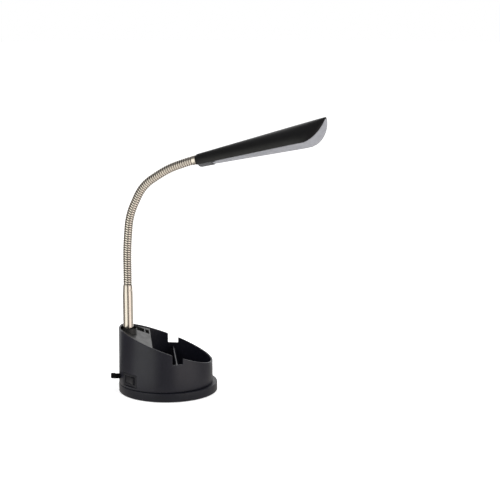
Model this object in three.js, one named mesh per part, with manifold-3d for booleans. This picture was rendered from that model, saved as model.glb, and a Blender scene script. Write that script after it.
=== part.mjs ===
// Desk lamp with a pen holder: a round weighted base, a cup cut on the slant with two notches,
// a post that carries a flexible gooseneck, and a long tapered head with a frosted underside.
// Millimetres, +Z up. The origin is on the table, under the middle of the round base;
// +X points to the low side of the cup, +Y away from the front of the lamp.
import * as THREE from 'three';
import { mergeVertices } from 'three/addons/utils/BufferGeometryUtils.js';
import Module from 'manifold-3d';

const wasm = await Module();
wasm.setup();

// Fits
const GAP = 0.3; // between two pieces that seat on each other
const OVERRUN = 2; // how far a cutting tool runs past the face that it cuts

// Round base
const BASE_LEDGE = 2.8; // the base stands this far out from the cup's foot
const BASE_HEIGHT = 10;
const BASE_WALL = 2.2;
const BASE_BEVEL = 0.6;
const BASE_SKIRT_DROP = 0.6; // the skirt reaches this far below the cover
const PAD_INSET = 7.8; // from the base's edge to the pad's
const PAD_THICKNESS = 1.5;
const PAD_RECESS = 0.8;
const COVER_THICKNESS = 3;
const BALLAST_CLEARANCE = 4.6; // between the ballast plate and the skirt

// Pen cup
const CUP_RADIUS = 57;
const CUP_WALL = 2.2;
const CUP_FLOOR = 2.2;
const CUP_DRAFT_DEGREES = 0.4;
const CUP_OFFSET = 2.6; // the cup's axis lies this far behind the base's, on the post's side
const RIM_HEIGHT = 58.7; // the slanted rim over the cup's axis
const RIM_SLOPE_DEGREES = 20.6;
const RIM_FLAT_LENGTH = 3.525; // from the cup's high side to where its level top ends
const NOTCH_WIDTH = 12.5;
const NOTCH_DROP = 13.6; // the notch floors lie this far below the rim over the cup's axis
const NOTCH_OFFSET = 11.6; // from the cup's axis to the middle of the notches
const DIVIDER_THICKNESS = 1.6;
const DIVIDER_DROP = 4; // the divider's top lies this far below the notch floor
const GUIDE_WIDTH = 1.4;
const GUIDE_DEPTH = 2.4;
const GUIDE_DROP = 8; // the guides stop this far below the notch floor

// Screws that hold the cup to the base
const CASE_SCREW_INSET = 13; // from the cup's wall to the screws' circle
const CASE_SCREW_COUNT = 4;
const CASE_SCREW_RADIUS = 1.5;
const CASE_SCREW_HEAD_RADIUS = 2.9;
const CASE_SCREW_HEAD_HEIGHT = 1.2;
const CASE_SCREW_LENGTH = 6.6;
const PEG_RADIUS = 3.6;
const PEG_CLEARANCE = 0.8; // between the pegs and the base cover
const PEG_ROOF = 0.9; // solid plastic over the blind screw hole

// Deck over the workings, with the boss that carries the post
const DECK_RECESS = 1;
const DECK_THICKNESS = 2.2;
const DECK_FROM_POST = 27.3; // from the post's axis to the deck's free edge
const PARTITION_WALL = 1.4;
const BOSS_RADIUS = 10.5;
const BOSS_HEIGHT = 17;
const TRAY_LENGTH = 9.2; // the deep slot in the deck, along X
const TRAY_DEPTH = 26;
const TRAY_WALL = 1.2;
const TRAY_SIDE = 20.5; // from the lamp's middle plane to the slot's near side
const TRAY_CORNER_INSET = 5.08; // from the cup's wall to the slot's far corner
const TRAY_FLOOR = 1.4;
const CLIP_SLOT_LENGTH = 4.6; // the shallow slot beside it
const CLIP_SLOT_DEPTH = 3;

// Post
const POST_INSET = 12; // from the cup's wall to the post's axis
const POST_RADIUS = 6.15;
const POST_BORE = 4.9;
const POST_TIP_RADIUS = 5.6;
const POST_STRAIGHT = 40.7; // above the level top of the cup
const POST_TAPER = 12;
const POST_SEAT_DEPTH = 12;
const NIPPLE_RADIUS = 4.6;
const NIPPLE_BORE = 3.2;
const NIPPLE_LENGTH = 34;
const NIPPLE_TAIL = 11; // how far it reaches below the boss
const POST_WASHER_RADIUS = 8.2;
const POST_WASHER_THICKNESS = 1.2;
const POST_NUT_RADIUS = 7.6;
const POST_NUT_HEIGHT = 5;

// Gooseneck: a straight foot, then spans between bend points
const NECK_YAW_DEGREES = -21.6;
const HOSE_RADIUS = 5.3;
const HOSE_ROOT_RADIUS = 4.85;
const HOSE_PITCH = 2.8;
const HOSE_BORE = 2.6;
const HOSE_FOOT = 25;
const HOSE_SPANS = [40, 40, 40, 37];
const HOSE_SPAN_TURNS_DEGREES = [4.9, 20.1, 31.5, 13.3];
const HOSE_TAIL = 12.9; // past the last bend point
const HOSE_TAIL_TURN_DEGREES = 5.8;
const SOCKET_GAP = 0.45;
const COLLAR_LENGTH = 3.4;
const WIRE_RADIUS = 2.2;
const WIRE_SETBACK = 0.9; // how far a wire stops short of each bend's ball

// Ferrule and nut where the neck enters the head
const FERRULE_RADIUS = 5.6;
const FERRULE_LENGTH = 5.2;
const STUB_RADIUS = 2.7;
const STUB_BORE = 1.9;
const STUB_LENGTH = 8.2;
const HEAD_NUT_RADIUS = 4.3;
const HEAD_NUT_HEIGHT = 3.5;

// Lamp head, along its own axis from the neck to the tip
const HEAD_LENGTH = 163;
const HEAD_ROLL_DEGREES = -13.2;
const HEAD_NECK_HALF_WIDTH = 7.6;
const HEAD_TIP_HALF_WIDTH = 27.5;
const HEAD_NECK_TOP = 6.4;
const HEAD_TIP_TOP = 15.3;
const HEAD_NECK_DEPTH = 6.9;
const HEAD_TIP_DEPTH = 12.1;
const HEAD_ROUND_LENGTH = 44; // the plan outline ends in a half ellipse this long
const HEAD_SWEEP_LENGTH = 27; // the rim sweeps up to the tip over this length
const HEAD_SWEEP_POWER = 1.6;
const HEAD_END_ROUND = 3;
const HEAD_END_ROUND_SHARES = [0, 1 / 3, 1];
const HEAD_TIP_BLUNT = 0.03; // the tip's last section lies this far before its point
const RIM_LAND = 0.15; // upright edge of the shell along its rim
const RIM_LAND_SHARE = 0.25; // and no more than this of the section's height near the tip
const HEAD_END_SHARE = 0.8; // the end face against the full section
const SHELL_WALL = 1.8;
const HEAD_END_WALL = 2.4;
const DIFFUSER_START = 20.4;
const DIFFUSER_WALL = 1.5;
const DIFFUSER_BULGE = 2.6;
const HEAD_COVER_LENGTH = 17;
const HEAD_COVER_WALL = 1.6;
const HEAD_COVER_BELLY = 2.6;
const HEAD_COVER_SWELL = 5.2; // the belly reaches its depth this far from the neck
const BOARD_START = 27;
const BOARD_SETBACK = 29; // from the light board's end to the head's tip
const BOARD_LIFT = 4; // underside above the rim plane
const BOARD_THICKNESS = 1.2;
const BOARD_NECK_HALF_WIDTH = 6.6;
const BOARD_TIP_HALF_WIDTH = 16;
const BOARD_ROUND = 16; // length of the board's rounded end
const HEAT_PLATE_THICKNESS = 1.5;
const LED_LENGTH = 3.5;
const LED_WIDTH = 2.8;
const LED_HEIGHT = 0.8;
const LED_FIRST = 34;
const LED_SPACING = 10.6;
const LED_END_SETBACK = 15.2; // from the last diode to the board's end
const LED_ROW_SHARE = 0.5; // the rows' distance from the middle against the board's half width
const HEAD_SCREW_FIRST = 39.5;
const HEAD_SCREW_END_SETBACK = 9.7; // from the last screw to the board's end
const HEAD_SCREW_COUNT = 3;
const HEAD_SCREW_RADIUS = 1.2;
const HEAD_SCREW_HEAD_RADIUS = 2.3;
const HEAD_SCREW_HEAD_HEIGHT = 1.1;
const HEAD_SCREW_LENGTH = 7;
const HEAD_BOSS_RADIUS = 3;
const HEAD_WIRE_RADIUS = 1.4;

// Rocker switch in the cup's wall
const SWITCH_ANGLE_DEGREES = 216.6;
const SWITCH_HEIGHT = 21.9;
const SWITCH_SINK = 1.2; // from the cup's wall in to the bezel's face
const BEZEL_SIDE_LIP = 2.25; // the bezel's flange beyond the body, at its sides
const BEZEL_TOP_LIP = 2; // and above and below it
const BEZEL_THICKNESS = 1.5;
const SWITCH_BODY_WIDTH = 20;
const SWITCH_BODY_HEIGHT = 11.4;
const SWITCH_BODY_DEPTH = 17;
const SWITCH_BODY_WALL = 1.1;
const SWITCH_FRAME_MARGIN = 2.2;
const SWITCH_FRAME_DEPTH = 3.4;
const ROCKER_SIDE_CLEARANCE = 0.9; // room for the rocker's ends to swing
const ROCKER_TOP_CLEARANCE = 0.4;
const ROCKER_PIVOT_DEPTH = 2.8; // below the bezel's face
const ROCKER_FACE_MIDDLE = 3;
const ROCKER_FACE_END = 3.6;
const ROCKER_BACK = 2.2;
const ROCKER_TILT_DEGREES = 8;
const ROCKER_PIN_RADIUS = 1;
const ROCKER_PIN_REACH = 0.9;
const TERMINAL_WIDTH = 4.8;
const TERMINAL_THICKNESS = 0.8;
const TERMINAL_LENGTH = 7;
const TERMINAL_INSET = 5.5; // from the body's side to a terminal's middle

// Driver board on the cup's floor
const DRIVER_LENGTH = 34;
const DRIVER_WIDTH = 21;
const DRIVER_THICKNESS = 1.6;
const DRIVER_LIFT = 6;
const DRIVER_FROM_POST = 13.1; // from the post's axis to the middle of the board
const DRIVER_Y = 12.5;
const DRIVER_POST_RADIUS = 3;
const DRIVER_POST_INSET = 3.6;
const DRIVER_SCREW_RADIUS = 1.2;
const DRIVER_SCREW_HEAD_RADIUS = 2.2;
const DRIVER_SCREW_HEAD_HEIGHT = 1.2;
const DRIVER_SCREW_LENGTH = 6;
const TRANSFORMER_SIZE = [11, 12, 10];
const CAPACITOR_RADIUS = 3.4;
const CAPACITOR_HEIGHT = 9;

// Cord: right-angle boot, free stretch, coil and plug
const CORD_RADIUS = 2.2;
const CORD_EXIT_DEGREES = 190;
const CORD_EXIT_HEIGHT = 21.2;
const BOOT_RADIUS = 3.1;
const BOOT_END_RADIUS = 2.8;
const BOOT_STAND_OUT = 7; // from the cup's wall to the boot's outlet axis, along -X
const BOOT_BEND = 4.6;
const BOOT_OUTLET = 16.5; // straight part of the outlet
const BOOT_DROOP_DEGREES = 12; // the outlet points this far below level
const BOOT_CORNER = 1.1; // bevel of the boot's square section
const BOOT_FLANGE_RADIUS = 4.6;
const BOOT_FLANGE_THICKNESS = 1.6;
const BOOT_THROAT_RADIUS = 2.9;
const BOOT_STANDOFF = 0.6; // the boot's shoulder stops this far outside the cup's wall
const SUPPLY_LEAD_RADIUS = 1.6;
const COIL_INNER_RADIUS = 18;
const COIL_TURNS_PER_LAYER = 3.75;
const CORD_PITCH = 4.9; // from one turn's axis to the next, across and up
const PLUG_LENGTH = 20;
const PLUG_WIDTH = 20;
const PLUG_HEIGHT = 14;
const PLUG_NOSE_LENGTH = 10;
const PLUG_NOSE_RADIUS = 3;
const PLUG_NOSE_END_RADIUS = 5.2;
const PLUG_CORNER = 4;
const BLADE_LENGTH = 16;
const BLADE_WIDTH = 6.3;
const BLADE_THICKNESS = 1.5;
const BLADE_SPACING = 12.7;
const BLADE_ROOT = 4;

// Facets
const ROUND_SIDES = 60;
const PIPE_SIDES = 20;
const BALL_SIDES = 16;
const SMALL_SIDES = 12;
const HOSE_SIDES = 8;
const BORE_RING_RIBS = 5; // the hose's bore has one ring in this many ribs
const SHELL_ARC_STEPS = 12;
const SHELL_EVEN_STEPS = 5;
const SHELL_ROUND_STEPS = 10;
const SHEET_EVEN_STEPS = 4;
const SHEET_ACROSS_STEPS = 8;
const COVER_STEPS = 6;
const BOARD_ROUND_STEPS = 6;
const BOOT_BEND_STEPS = 5;
const LEAD_STEPS = 8;
const CORD_STEPS = 14;
const POST_LEAD_STEPS = 16;
const COIL_STEPS = 24;
const COIL_SIDES = 6;
const BISECTIONS = 40;

const radians = THREE.MathUtils.degToRad;

// Levels and places that follow from the sizes above
const BASE_RADIUS = CUP_RADIUS + BASE_LEDGE;
const PAD_RADIUS = BASE_RADIUS - PAD_INSET;
const BALLAST_RADIUS = BASE_RADIUS - BASE_WALL - BALLAST_CLEARANCE;
const CASE_SCREW_CIRCLE = CUP_RADIUS - CASE_SCREW_INSET;
const FOOT_LEVEL = PAD_THICKNESS + GAP - PAD_RECESS;
const BASE_TOP = FOOT_LEVEL + BASE_HEIGHT;
const COVER_TOP = FOOT_LEVEL + COVER_THICKNESS;
const CUP_BOTTOM = BASE_TOP + GAP;
const CUP_INSIDE = CUP_BOTTOM + CUP_FLOOR;
const PEG_LENGTH = CUP_BOTTOM - COVER_TOP - PEG_CLEARANCE;
const RIM_SLOPE = Math.tan(radians(RIM_SLOPE_DEGREES));
const DRAFT = Math.tan(radians(CUP_DRAFT_DEGREES));
const RIM_FLAT_HEIGHT = RIM_HEIGHT + RIM_SLOPE * (CUP_RADIUS - RIM_FLAT_LENGTH);
const NOTCH_FLOOR = RIM_HEIGHT - NOTCH_DROP;
const POST_OFFSET = CUP_RADIUS - POST_INSET;
const DECK_EDGE = POST_OFFSET - DECK_FROM_POST;
const SWITCH_FACE = CUP_RADIUS - SWITCH_SINK;
const BEZEL_WIDTH = SWITCH_BODY_WIDTH + 2 * BEZEL_SIDE_LIP;
const BEZEL_HEIGHT = SWITCH_BODY_HEIGHT + 2 * BEZEL_TOP_LIP;
const ROCKER_WIDTH = SWITCH_BODY_WIDTH - 2 * (SWITCH_BODY_WALL + ROCKER_SIDE_CLEARANCE);
const ROCKER_HEIGHT = SWITCH_BODY_HEIGHT - 2 * (SWITCH_BODY_WALL + ROCKER_TOP_CLEARANCE);
const TERMINAL_SPACING = SWITCH_BODY_WIDTH - 2 * TERMINAL_INSET;
const DRIVER_X = DRIVER_FROM_POST - CUP_OFFSET - POST_OFFSET;
const BOOT_REACH = CUP_RADIUS + BOOT_STAND_OUT;
const POST_SEAT = RIM_FLAT_HEIGHT - POST_SEAT_DEPTH;
const BOSS_BOTTOM = RIM_FLAT_HEIGHT - BOSS_HEIGHT;
const POST_TOP = RIM_FLAT_HEIGHT + POST_STRAIGHT + POST_TAPER;
const HEAD_ROUND_START = HEAD_LENGTH - HEAD_ROUND_LENGTH;
const HEAD_SWEEP_START = HEAD_LENGTH - HEAD_SWEEP_LENGTH;
const BOARD_END = HEAD_LENGTH - BOARD_SETBACK;
const LED_PER_ROW = Math.round((BOARD_END - LED_END_SETBACK - LED_FIRST) / LED_SPACING) + 1;
const HEAD_SCREW_SPACING = (BOARD_END - HEAD_SCREW_END_SETBACK - HEAD_SCREW_FIRST) / (HEAD_SCREW_COUNT - 1);

// Height of the slanted rim at a distance from the cup's axis
const rimAt = (x) => RIM_HEIGHT - RIM_SLOPE * x;

// Turns a closed three.js geometry into a solid that can be cut and joined
function solid(geometry) {
  const bare = geometry.clone();
  for (const name of Object.keys(bare.attributes)) {
    if (name !== 'position') bare.deleteAttribute(name);
  }
  const merged = mergeVertices(bare);
  return new wasm.Manifold(new wasm.Mesh({
    numProp: 3,
    vertProperties: merged.attributes.position.array,
    triVerts: merged.index.array,
  }));
}

// Turns a solid back into a three.js geometry
function geometryOf(body) {
  const mesh = body.getMesh();
  const geometry = new THREE.BufferGeometry();
  geometry.setAttribute('position', new THREE.BufferAttribute(new Float32Array(mesh.vertProperties), 3));
  geometry.setIndex(new THREE.BufferAttribute(new Uint32Array(mesh.triVerts), 1));
  geometry.computeVertexNormals();
  return geometry;
}

const joined = (bodies) => bodies.reduce((all, body) => all.add(body));
const cut = (body, tools) => tools.reduce((rest, tool) => rest.subtract(tool), body);

// Upright cone or cylinder between two levels
function drum(radiusLow, radiusHigh, low, high, sides = PIPE_SIDES, x = 0, y = 0) {
  const geometry = new THREE.CylinderGeometry(radiusHigh, radiusLow, high - low, sides);
  geometry.rotateX(Math.PI / 2);
  geometry.translate(x, y, (low + high) / 2);
  return solid(geometry);
}

// Cylinder along X between two places
function barX(radius, from, to, y = 0, z = 0, sides = SMALL_SIDES) {
  const geometry = new THREE.CylinderGeometry(radius, radius, to - from, sides);
  geometry.rotateZ(Math.PI / 2);
  geometry.translate((from + to) / 2, y, z);
  return solid(geometry);
}

// Box between two corners
function block(x, y, z) {
  const geometry = new THREE.BoxGeometry(x[1] - x[0], y[1] - y[0], z[1] - z[0]);
  geometry.translate((x[0] + x[1]) / 2, (y[0] + y[1]) / 2, (z[0] + z[1]) / 2);
  return solid(geometry);
}

// Prism with its outline in the XZ plane, centred on the XZ plane along Y
function slab(outline, width) {
  const shape = new THREE.Shape(outline.map(([x, z]) => new THREE.Vector2(x, z)));
  const geometry = new THREE.ExtrudeGeometry(shape, { depth: width, bevelEnabled: false });
  geometry.rotateX(Math.PI / 2);
  geometry.translate(0, width / 2, 0);
  return solid(geometry);
}

// Flat plate with its outline in the XY plane
function plate(outline, low, high) {
  const shape = new THREE.Shape(outline.map(([x, y]) => new THREE.Vector2(x, y)));
  const geometry = new THREE.ExtrudeGeometry(shape, { depth: high - low, bevelEnabled: false });
  geometry.translate(0, 0, low);
  return solid(geometry);
}

// Turned piece from a closed profile of [radius, level] points
function turned(profile, sides = PIPE_SIDES) {
  const points = [...profile, profile[0]].map(([radius, level]) => new THREE.Vector2(radius, level));
  const geometry = new THREE.LatheGeometry(points, sides);
  geometry.rotateX(Math.PI / 2);
  return solid(geometry);
}

// Closed skin through rings of equal point counts; each end is closed across its ring
function skin(rings) {
  const count = rings[0].length;
  const positions = [];
  for (const ring of rings) {
    for (const point of ring) positions.push(point.x, point.y, point.z);
  }
  const index = [];
  for (let i = 0; i + 1 < rings.length; i += 1) {
    for (let j = 0; j < count; j += 1) {
      const a = i * count + j;
      const b = i * count + ((j + 1) % count);
      index.push(a, b, b + count, a, b + count, a + count);
    }
  }
  const last = (rings.length - 1) * count;
  for (let j = 0; j < count / 2 - 1; j += 1) {
    const near = [j, j + 1, count - 2 - j, count - 1 - j];
    index.push(near[0], near[2], near[1], near[0], near[3], near[2]);
    index.push(last + near[0], last + near[1], last + near[2]);
    index.push(last + near[0], last + near[2], last + near[3]);
  }
  const geometry = new THREE.BufferGeometry();
  geometry.setAttribute('position', new THREE.Float32BufferAttribute(positions, 3));
  geometry.setIndex(facesOut(positions, index));
  return geometry;
}

// Turns every triangle round where the skin's signed volume is negative
function facesOut(positions, index) {
  const corner = (i) => new THREE.Vector3().fromArray(positions, 3 * i);
  let volume = 0;
  for (let i = 0; i < index.length; i += 3) {
    volume += corner(index[i]).dot(corner(index[i + 1]).cross(corner(index[i + 2])));
  }
  if (volume >= 0) return index;
  const flipped = [];
  for (let i = 0; i < index.length; i += 3) flipped.push(index[i], index[i + 2], index[i + 1]);
  return flipped;
}

// Ring of points round a place on a path, square to the path's direction
function ringAt(place, direction, side, radius, sides) {
  const up = new THREE.Vector3().crossVectors(direction, side);
  return Array.from({ length: sides }, (_, i) => {
    const angle = (2 * Math.PI * i) / sides;
    return place.clone()
      .addScaledVector(side, radius * Math.cos(angle))
      .addScaledVector(up, radius * Math.sin(angle));
  });
}

const finishes = {
  blackPlastic: { color: 0x2b2b2e, roughness: 0.55, metalness: 0 },
  deckPlastic: { color: 0x4a4a4c, roughness: 0.5, metalness: 0 },
  rubber: { color: 0x1c1c1d, roughness: 0.85, metalness: 0 },
  nickel: { color: 0xcfc2b4, roughness: 0.3, metalness: 1 },
  steel: { color: 0x9a9b9d, roughness: 0.4, metalness: 1 },
  brass: { color: 0xc9a55a, roughness: 0.35, metalness: 1 },
  frosted: { color: 0xb9b9bd, roughness: 0.6, metalness: 0 },
  greyPlastic: { color: 0x6c6c6f, roughness: 0.5, metalness: 0 },
  aluminium: { color: 0xb4b6b8, roughness: 0.45, metalness: 1 },
  circuit: { color: 0x1d5a37, roughness: 0.5, metalness: 0 },
  wire: { color: 0x8f1f1c, roughness: 0.6, metalness: 0 },
};

// Named mesh in one of the finishes
function piece(name, body, finish) {
  const geometry = body.isBufferGeometry ? body : geometryOf(body);
  const mesh = new THREE.Mesh(geometry, new THREE.MeshStandardMaterial(finishes[finish]));
  mesh.name = name;
  return mesh;
}

const caseScrewPlaces = Array.from({ length: CASE_SCREW_COUNT }, (_, i) => {
  const angle = (2 * Math.PI * (i + 1 / 2)) / CASE_SCREW_COUNT;
  return [CASE_SCREW_CIRCLE * Math.cos(angle) - CUP_OFFSET, CASE_SCREW_CIRCLE * Math.sin(angle)];
});

// Weighted base: skirted disc, steel ballast, cover, non-slip pad and the screws up into the cup
function makeBase() {
  const base = new THREE.Group();
  const skirtInside = BASE_RADIUS - BASE_WALL;
  const skirtFoot = FOOT_LEVEL - BASE_SKIRT_DROP;
  const holesAt = (radius, low, high) => caseScrewPlaces.map(
    ([x, y]) => drum(radius, radius, low, high, SMALL_SIDES, x, y));

  const disc = turned([
    [0, BASE_TOP - BASE_WALL], [skirtInside, BASE_TOP - BASE_WALL], [skirtInside, skirtFoot],
    [BASE_RADIUS - BASE_BEVEL, skirtFoot], [BASE_RADIUS, skirtFoot + BASE_BEVEL],
    [BASE_RADIUS, BASE_TOP - BASE_BEVEL], [BASE_RADIUS - BASE_BEVEL, BASE_TOP], [0, BASE_TOP],
  ], ROUND_SIDES);
  const pegHole = PEG_RADIUS + GAP;
  const pegHoles = holesAt(pegHole, BASE_TOP - BASE_WALL - OVERRUN, BASE_TOP + OVERRUN);
  base.add(piece('base_disc', cut(disc, pegHoles), 'blackPlastic'));

  const coverRadius = skirtInside - GAP;
  const recessTop = FOOT_LEVEL + PAD_RECESS;
  const headSeat = recessTop + CASE_SCREW_HEAD_HEIGHT + GAP;
  const cover = cut(drum(coverRadius, coverRadius, FOOT_LEVEL, COVER_TOP, ROUND_SIDES), [
    drum(PAD_RADIUS + GAP, PAD_RADIUS + GAP, FOOT_LEVEL - OVERRUN, recessTop, ROUND_SIDES),
    ...holesAt(CASE_SCREW_HEAD_RADIUS + GAP, FOOT_LEVEL, headSeat),
    ...holesAt(CASE_SCREW_RADIUS + GAP, FOOT_LEVEL, COVER_TOP + OVERRUN),
  ]);
  base.add(piece('base_cover', cover, 'blackPlastic'));

  const ballastTop = BASE_TOP - BASE_WALL - GAP;
  const ballast = cut(drum(BALLAST_RADIUS, BALLAST_RADIUS, COVER_TOP + GAP, ballastTop, ROUND_SIDES),
    holesAt(pegHole, COVER_TOP - OVERRUN, ballastTop + OVERRUN));
  base.add(piece('ballast_plate', ballast, 'steel'));

  base.add(piece('anti_slip_pad', drum(PAD_RADIUS, PAD_RADIUS, 0, PAD_THICKNESS, ROUND_SIDES), 'rubber'));

  caseScrewPlaces.forEach(([x, y], i) => {
    const headTop = recessTop + CASE_SCREW_HEAD_HEIGHT;
    const screw = joined([
      drum(CASE_SCREW_HEAD_RADIUS, CASE_SCREW_HEAD_RADIUS, recessTop, headTop, SMALL_SIDES, x, y),
      drum(CASE_SCREW_RADIUS, CASE_SCREW_RADIUS, headTop, headTop + CASE_SCREW_LENGTH, SMALL_SIDES, x, y),
    ]);
    base.add(piece(`case_screw_${i + 1}`, screw, 'steel'));
  });
  return base;
}

// Radius of the cup's drafted wall at a level, less an inset
const cupRadiusAt = (level, inset) => CUP_RADIUS - inset - DRAFT * (level - CUP_BOTTOM);

// Solid inside of the cup between two levels
function cupCore(inset, low, high) {
  return drum(cupRadiusAt(low, inset), cupRadiusAt(high, inset), low, high, ROUND_SIDES);
}

// Everything under the slanted rim and its level part, less a drop
function underRim(drop) {
  const reach = CUP_RADIUS + OVERRUN;
  const flatEnd = (RIM_HEIGHT - RIM_FLAT_HEIGHT) / RIM_SLOPE;
  const low = CUP_BOTTOM - PEG_LENGTH - OVERRUN;
  return slab([
    [-reach, low], [reach, low], [reach, rimAt(reach) - drop],
    [flatEnd, RIM_FLAT_HEIGHT - drop], [-reach, RIM_FLAT_HEIGHT - drop],
  ], 2 * reach);
}

// Puts a solid that was drawn facing +X at the switch's place in the cup's wall
function atSwitch(body) {
  return body.rotate([0, 0, SWITCH_ANGLE_DEGREES]).translate([0, 0, SWITCH_HEIGHT]);
}

// Cup, deck and divider, drawn round the cup's axis
function makeHolder() {
  const holder = new THREE.Group();
  holder.position.set(-CUP_OFFSET, 0, 0);
  const highest = RIM_FLAT_HEIGHT + OVERRUN;
  const insideCore = cupCore(CUP_WALL, CUP_INSIDE, highest);

  const pegs = caseScrewPlaces.map(([x, y]) => drum(PEG_RADIUS, PEG_RADIUS, CUP_BOTTOM - PEG_LENGTH,
    CUP_BOTTOM + CUP_FLOOR / 2, SMALL_SIDES, x + CUP_OFFSET, y));
  const screwHole = CASE_SCREW_RADIUS + GAP;
  const screwHoles = caseScrewPlaces.map(([x, y]) => drum(screwHole, screwHole,
    CUP_BOTTOM - PEG_LENGTH - OVERRUN, CUP_BOTTOM - PEG_ROOF + CUP_FLOOR / 2, SMALL_SIDES,
    x + CUP_OFFSET, y));

  const guideInside = DIVIDER_THICKNESS / 2 + GAP;
  const guideReach = cupRadiusAt(NOTCH_FLOOR, CUP_WALL);
  const guideTop = NOTCH_FLOOR - GUIDE_DROP;
  const guides = [-1, 1].flatMap((side) => [-1, 1].map((end) => {
    const x = NOTCH_OFFSET + side * (guideInside + GUIDE_WIDTH / 2);
    const wallY = Math.sqrt(guideReach ** 2 - x ** 2);
    return block([x - GUIDE_WIDTH / 2, x + GUIDE_WIDTH / 2],
      end > 0 ? [wallY - GUIDE_DEPTH, wallY + CUP_WALL / 2] : [-wallY - CUP_WALL / 2, -wallY + GUIDE_DEPTH],
      [CUP_INSIDE - CUP_FLOOR / 2, guideTop]);
  }));

  const frameWidth = SWITCH_BODY_WIDTH / 2 + SWITCH_FRAME_MARGIN;
  const frameHeight = SWITCH_BODY_HEIGHT / 2 + SWITCH_FRAME_MARGIN;
  const flangeSeat = SWITCH_FACE - BEZEL_THICKNESS - GAP;
  const frame = atSwitch(block([flangeSeat - SWITCH_FRAME_DEPTH, flangeSeat], [-frameWidth, frameWidth],
    [-frameHeight, frameHeight]));
  const pocket = atSwitch(block([flangeSeat, CUP_RADIUS + OVERRUN],
    [-BEZEL_WIDTH / 2 - GAP, BEZEL_WIDTH / 2 + GAP], [-BEZEL_HEIGHT / 2 - GAP, BEZEL_HEIGHT / 2 + GAP]));
  const window = atSwitch(block([flangeSeat - SWITCH_FRAME_DEPTH - OVERRUN, CUP_RADIUS + OVERRUN],
    [-SWITCH_BODY_WIDTH / 2 - GAP, SWITCH_BODY_WIDTH / 2 + GAP],
    [-SWITCH_BODY_HEIGHT / 2 - GAP, SWITCH_BODY_HEIGHT / 2 + GAP]));

  const cordHole = barX(BOOT_THROAT_RADIUS + GAP, -CUP_RADIUS - OVERRUN, -CUP_RADIUS + CUP_WALL + OVERRUN,
    CUP_RADIUS * Math.sin(radians(CORD_EXIT_DEGREES)), CORD_EXIT_HEIGHT);
  const notch = block([NOTCH_OFFSET - NOTCH_WIDTH / 2, NOTCH_OFFSET + NOTCH_WIDTH / 2],
    [-CUP_RADIUS - OVERRUN, CUP_RADIUS + OVERRUN], [NOTCH_FLOOR, highest]);

  const driverPosts = driverScrewPlaces.map(([x, y]) => drum(DRIVER_POST_RADIUS, DRIVER_POST_RADIUS,
    CUP_INSIDE - CUP_FLOOR / 2, CUP_INSIDE + DRIVER_LIFT, SMALL_SIDES, x + CUP_OFFSET, y));
  const driverHole = DRIVER_SCREW_RADIUS + GAP;
  const driverHoles = driverScrewPlaces.map(([x, y]) => drum(driverHole, driverHole, CUP_INSIDE,
    CUP_INSIDE + DRIVER_LIFT + OVERRUN, SMALL_SIDES, x + CUP_OFFSET, y));

  const cupWall = cut(cupCore(0, CUP_BOTTOM, highest), [insideCore]);
  const cup = cut(joined([cupWall, ...pegs, ...guides, ...driverPosts, frame]),
    [...screwHoles, ...driverHoles, pocket, window, cordHole, notch]).intersect(underRim(0));
  holder.add(piece('holder_cup', cup, 'blackPlastic'));

  holder.add(piece('post_deck', makeDeck(), 'deckPlastic'));

  const divider = block([NOTCH_OFFSET - DIVIDER_THICKNESS / 2, NOTCH_OFFSET + DIVIDER_THICKNESS / 2],
    [-CUP_RADIUS, CUP_RADIUS], [CUP_INSIDE + GAP, NOTCH_FLOOR - DIVIDER_DROP]);
  holder.add(piece('cup_divider', divider.intersect(cupCore(CUP_WALL + GAP, CUP_INSIDE, highest)),
    'blackPlastic'));
  return holder;
}

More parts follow.
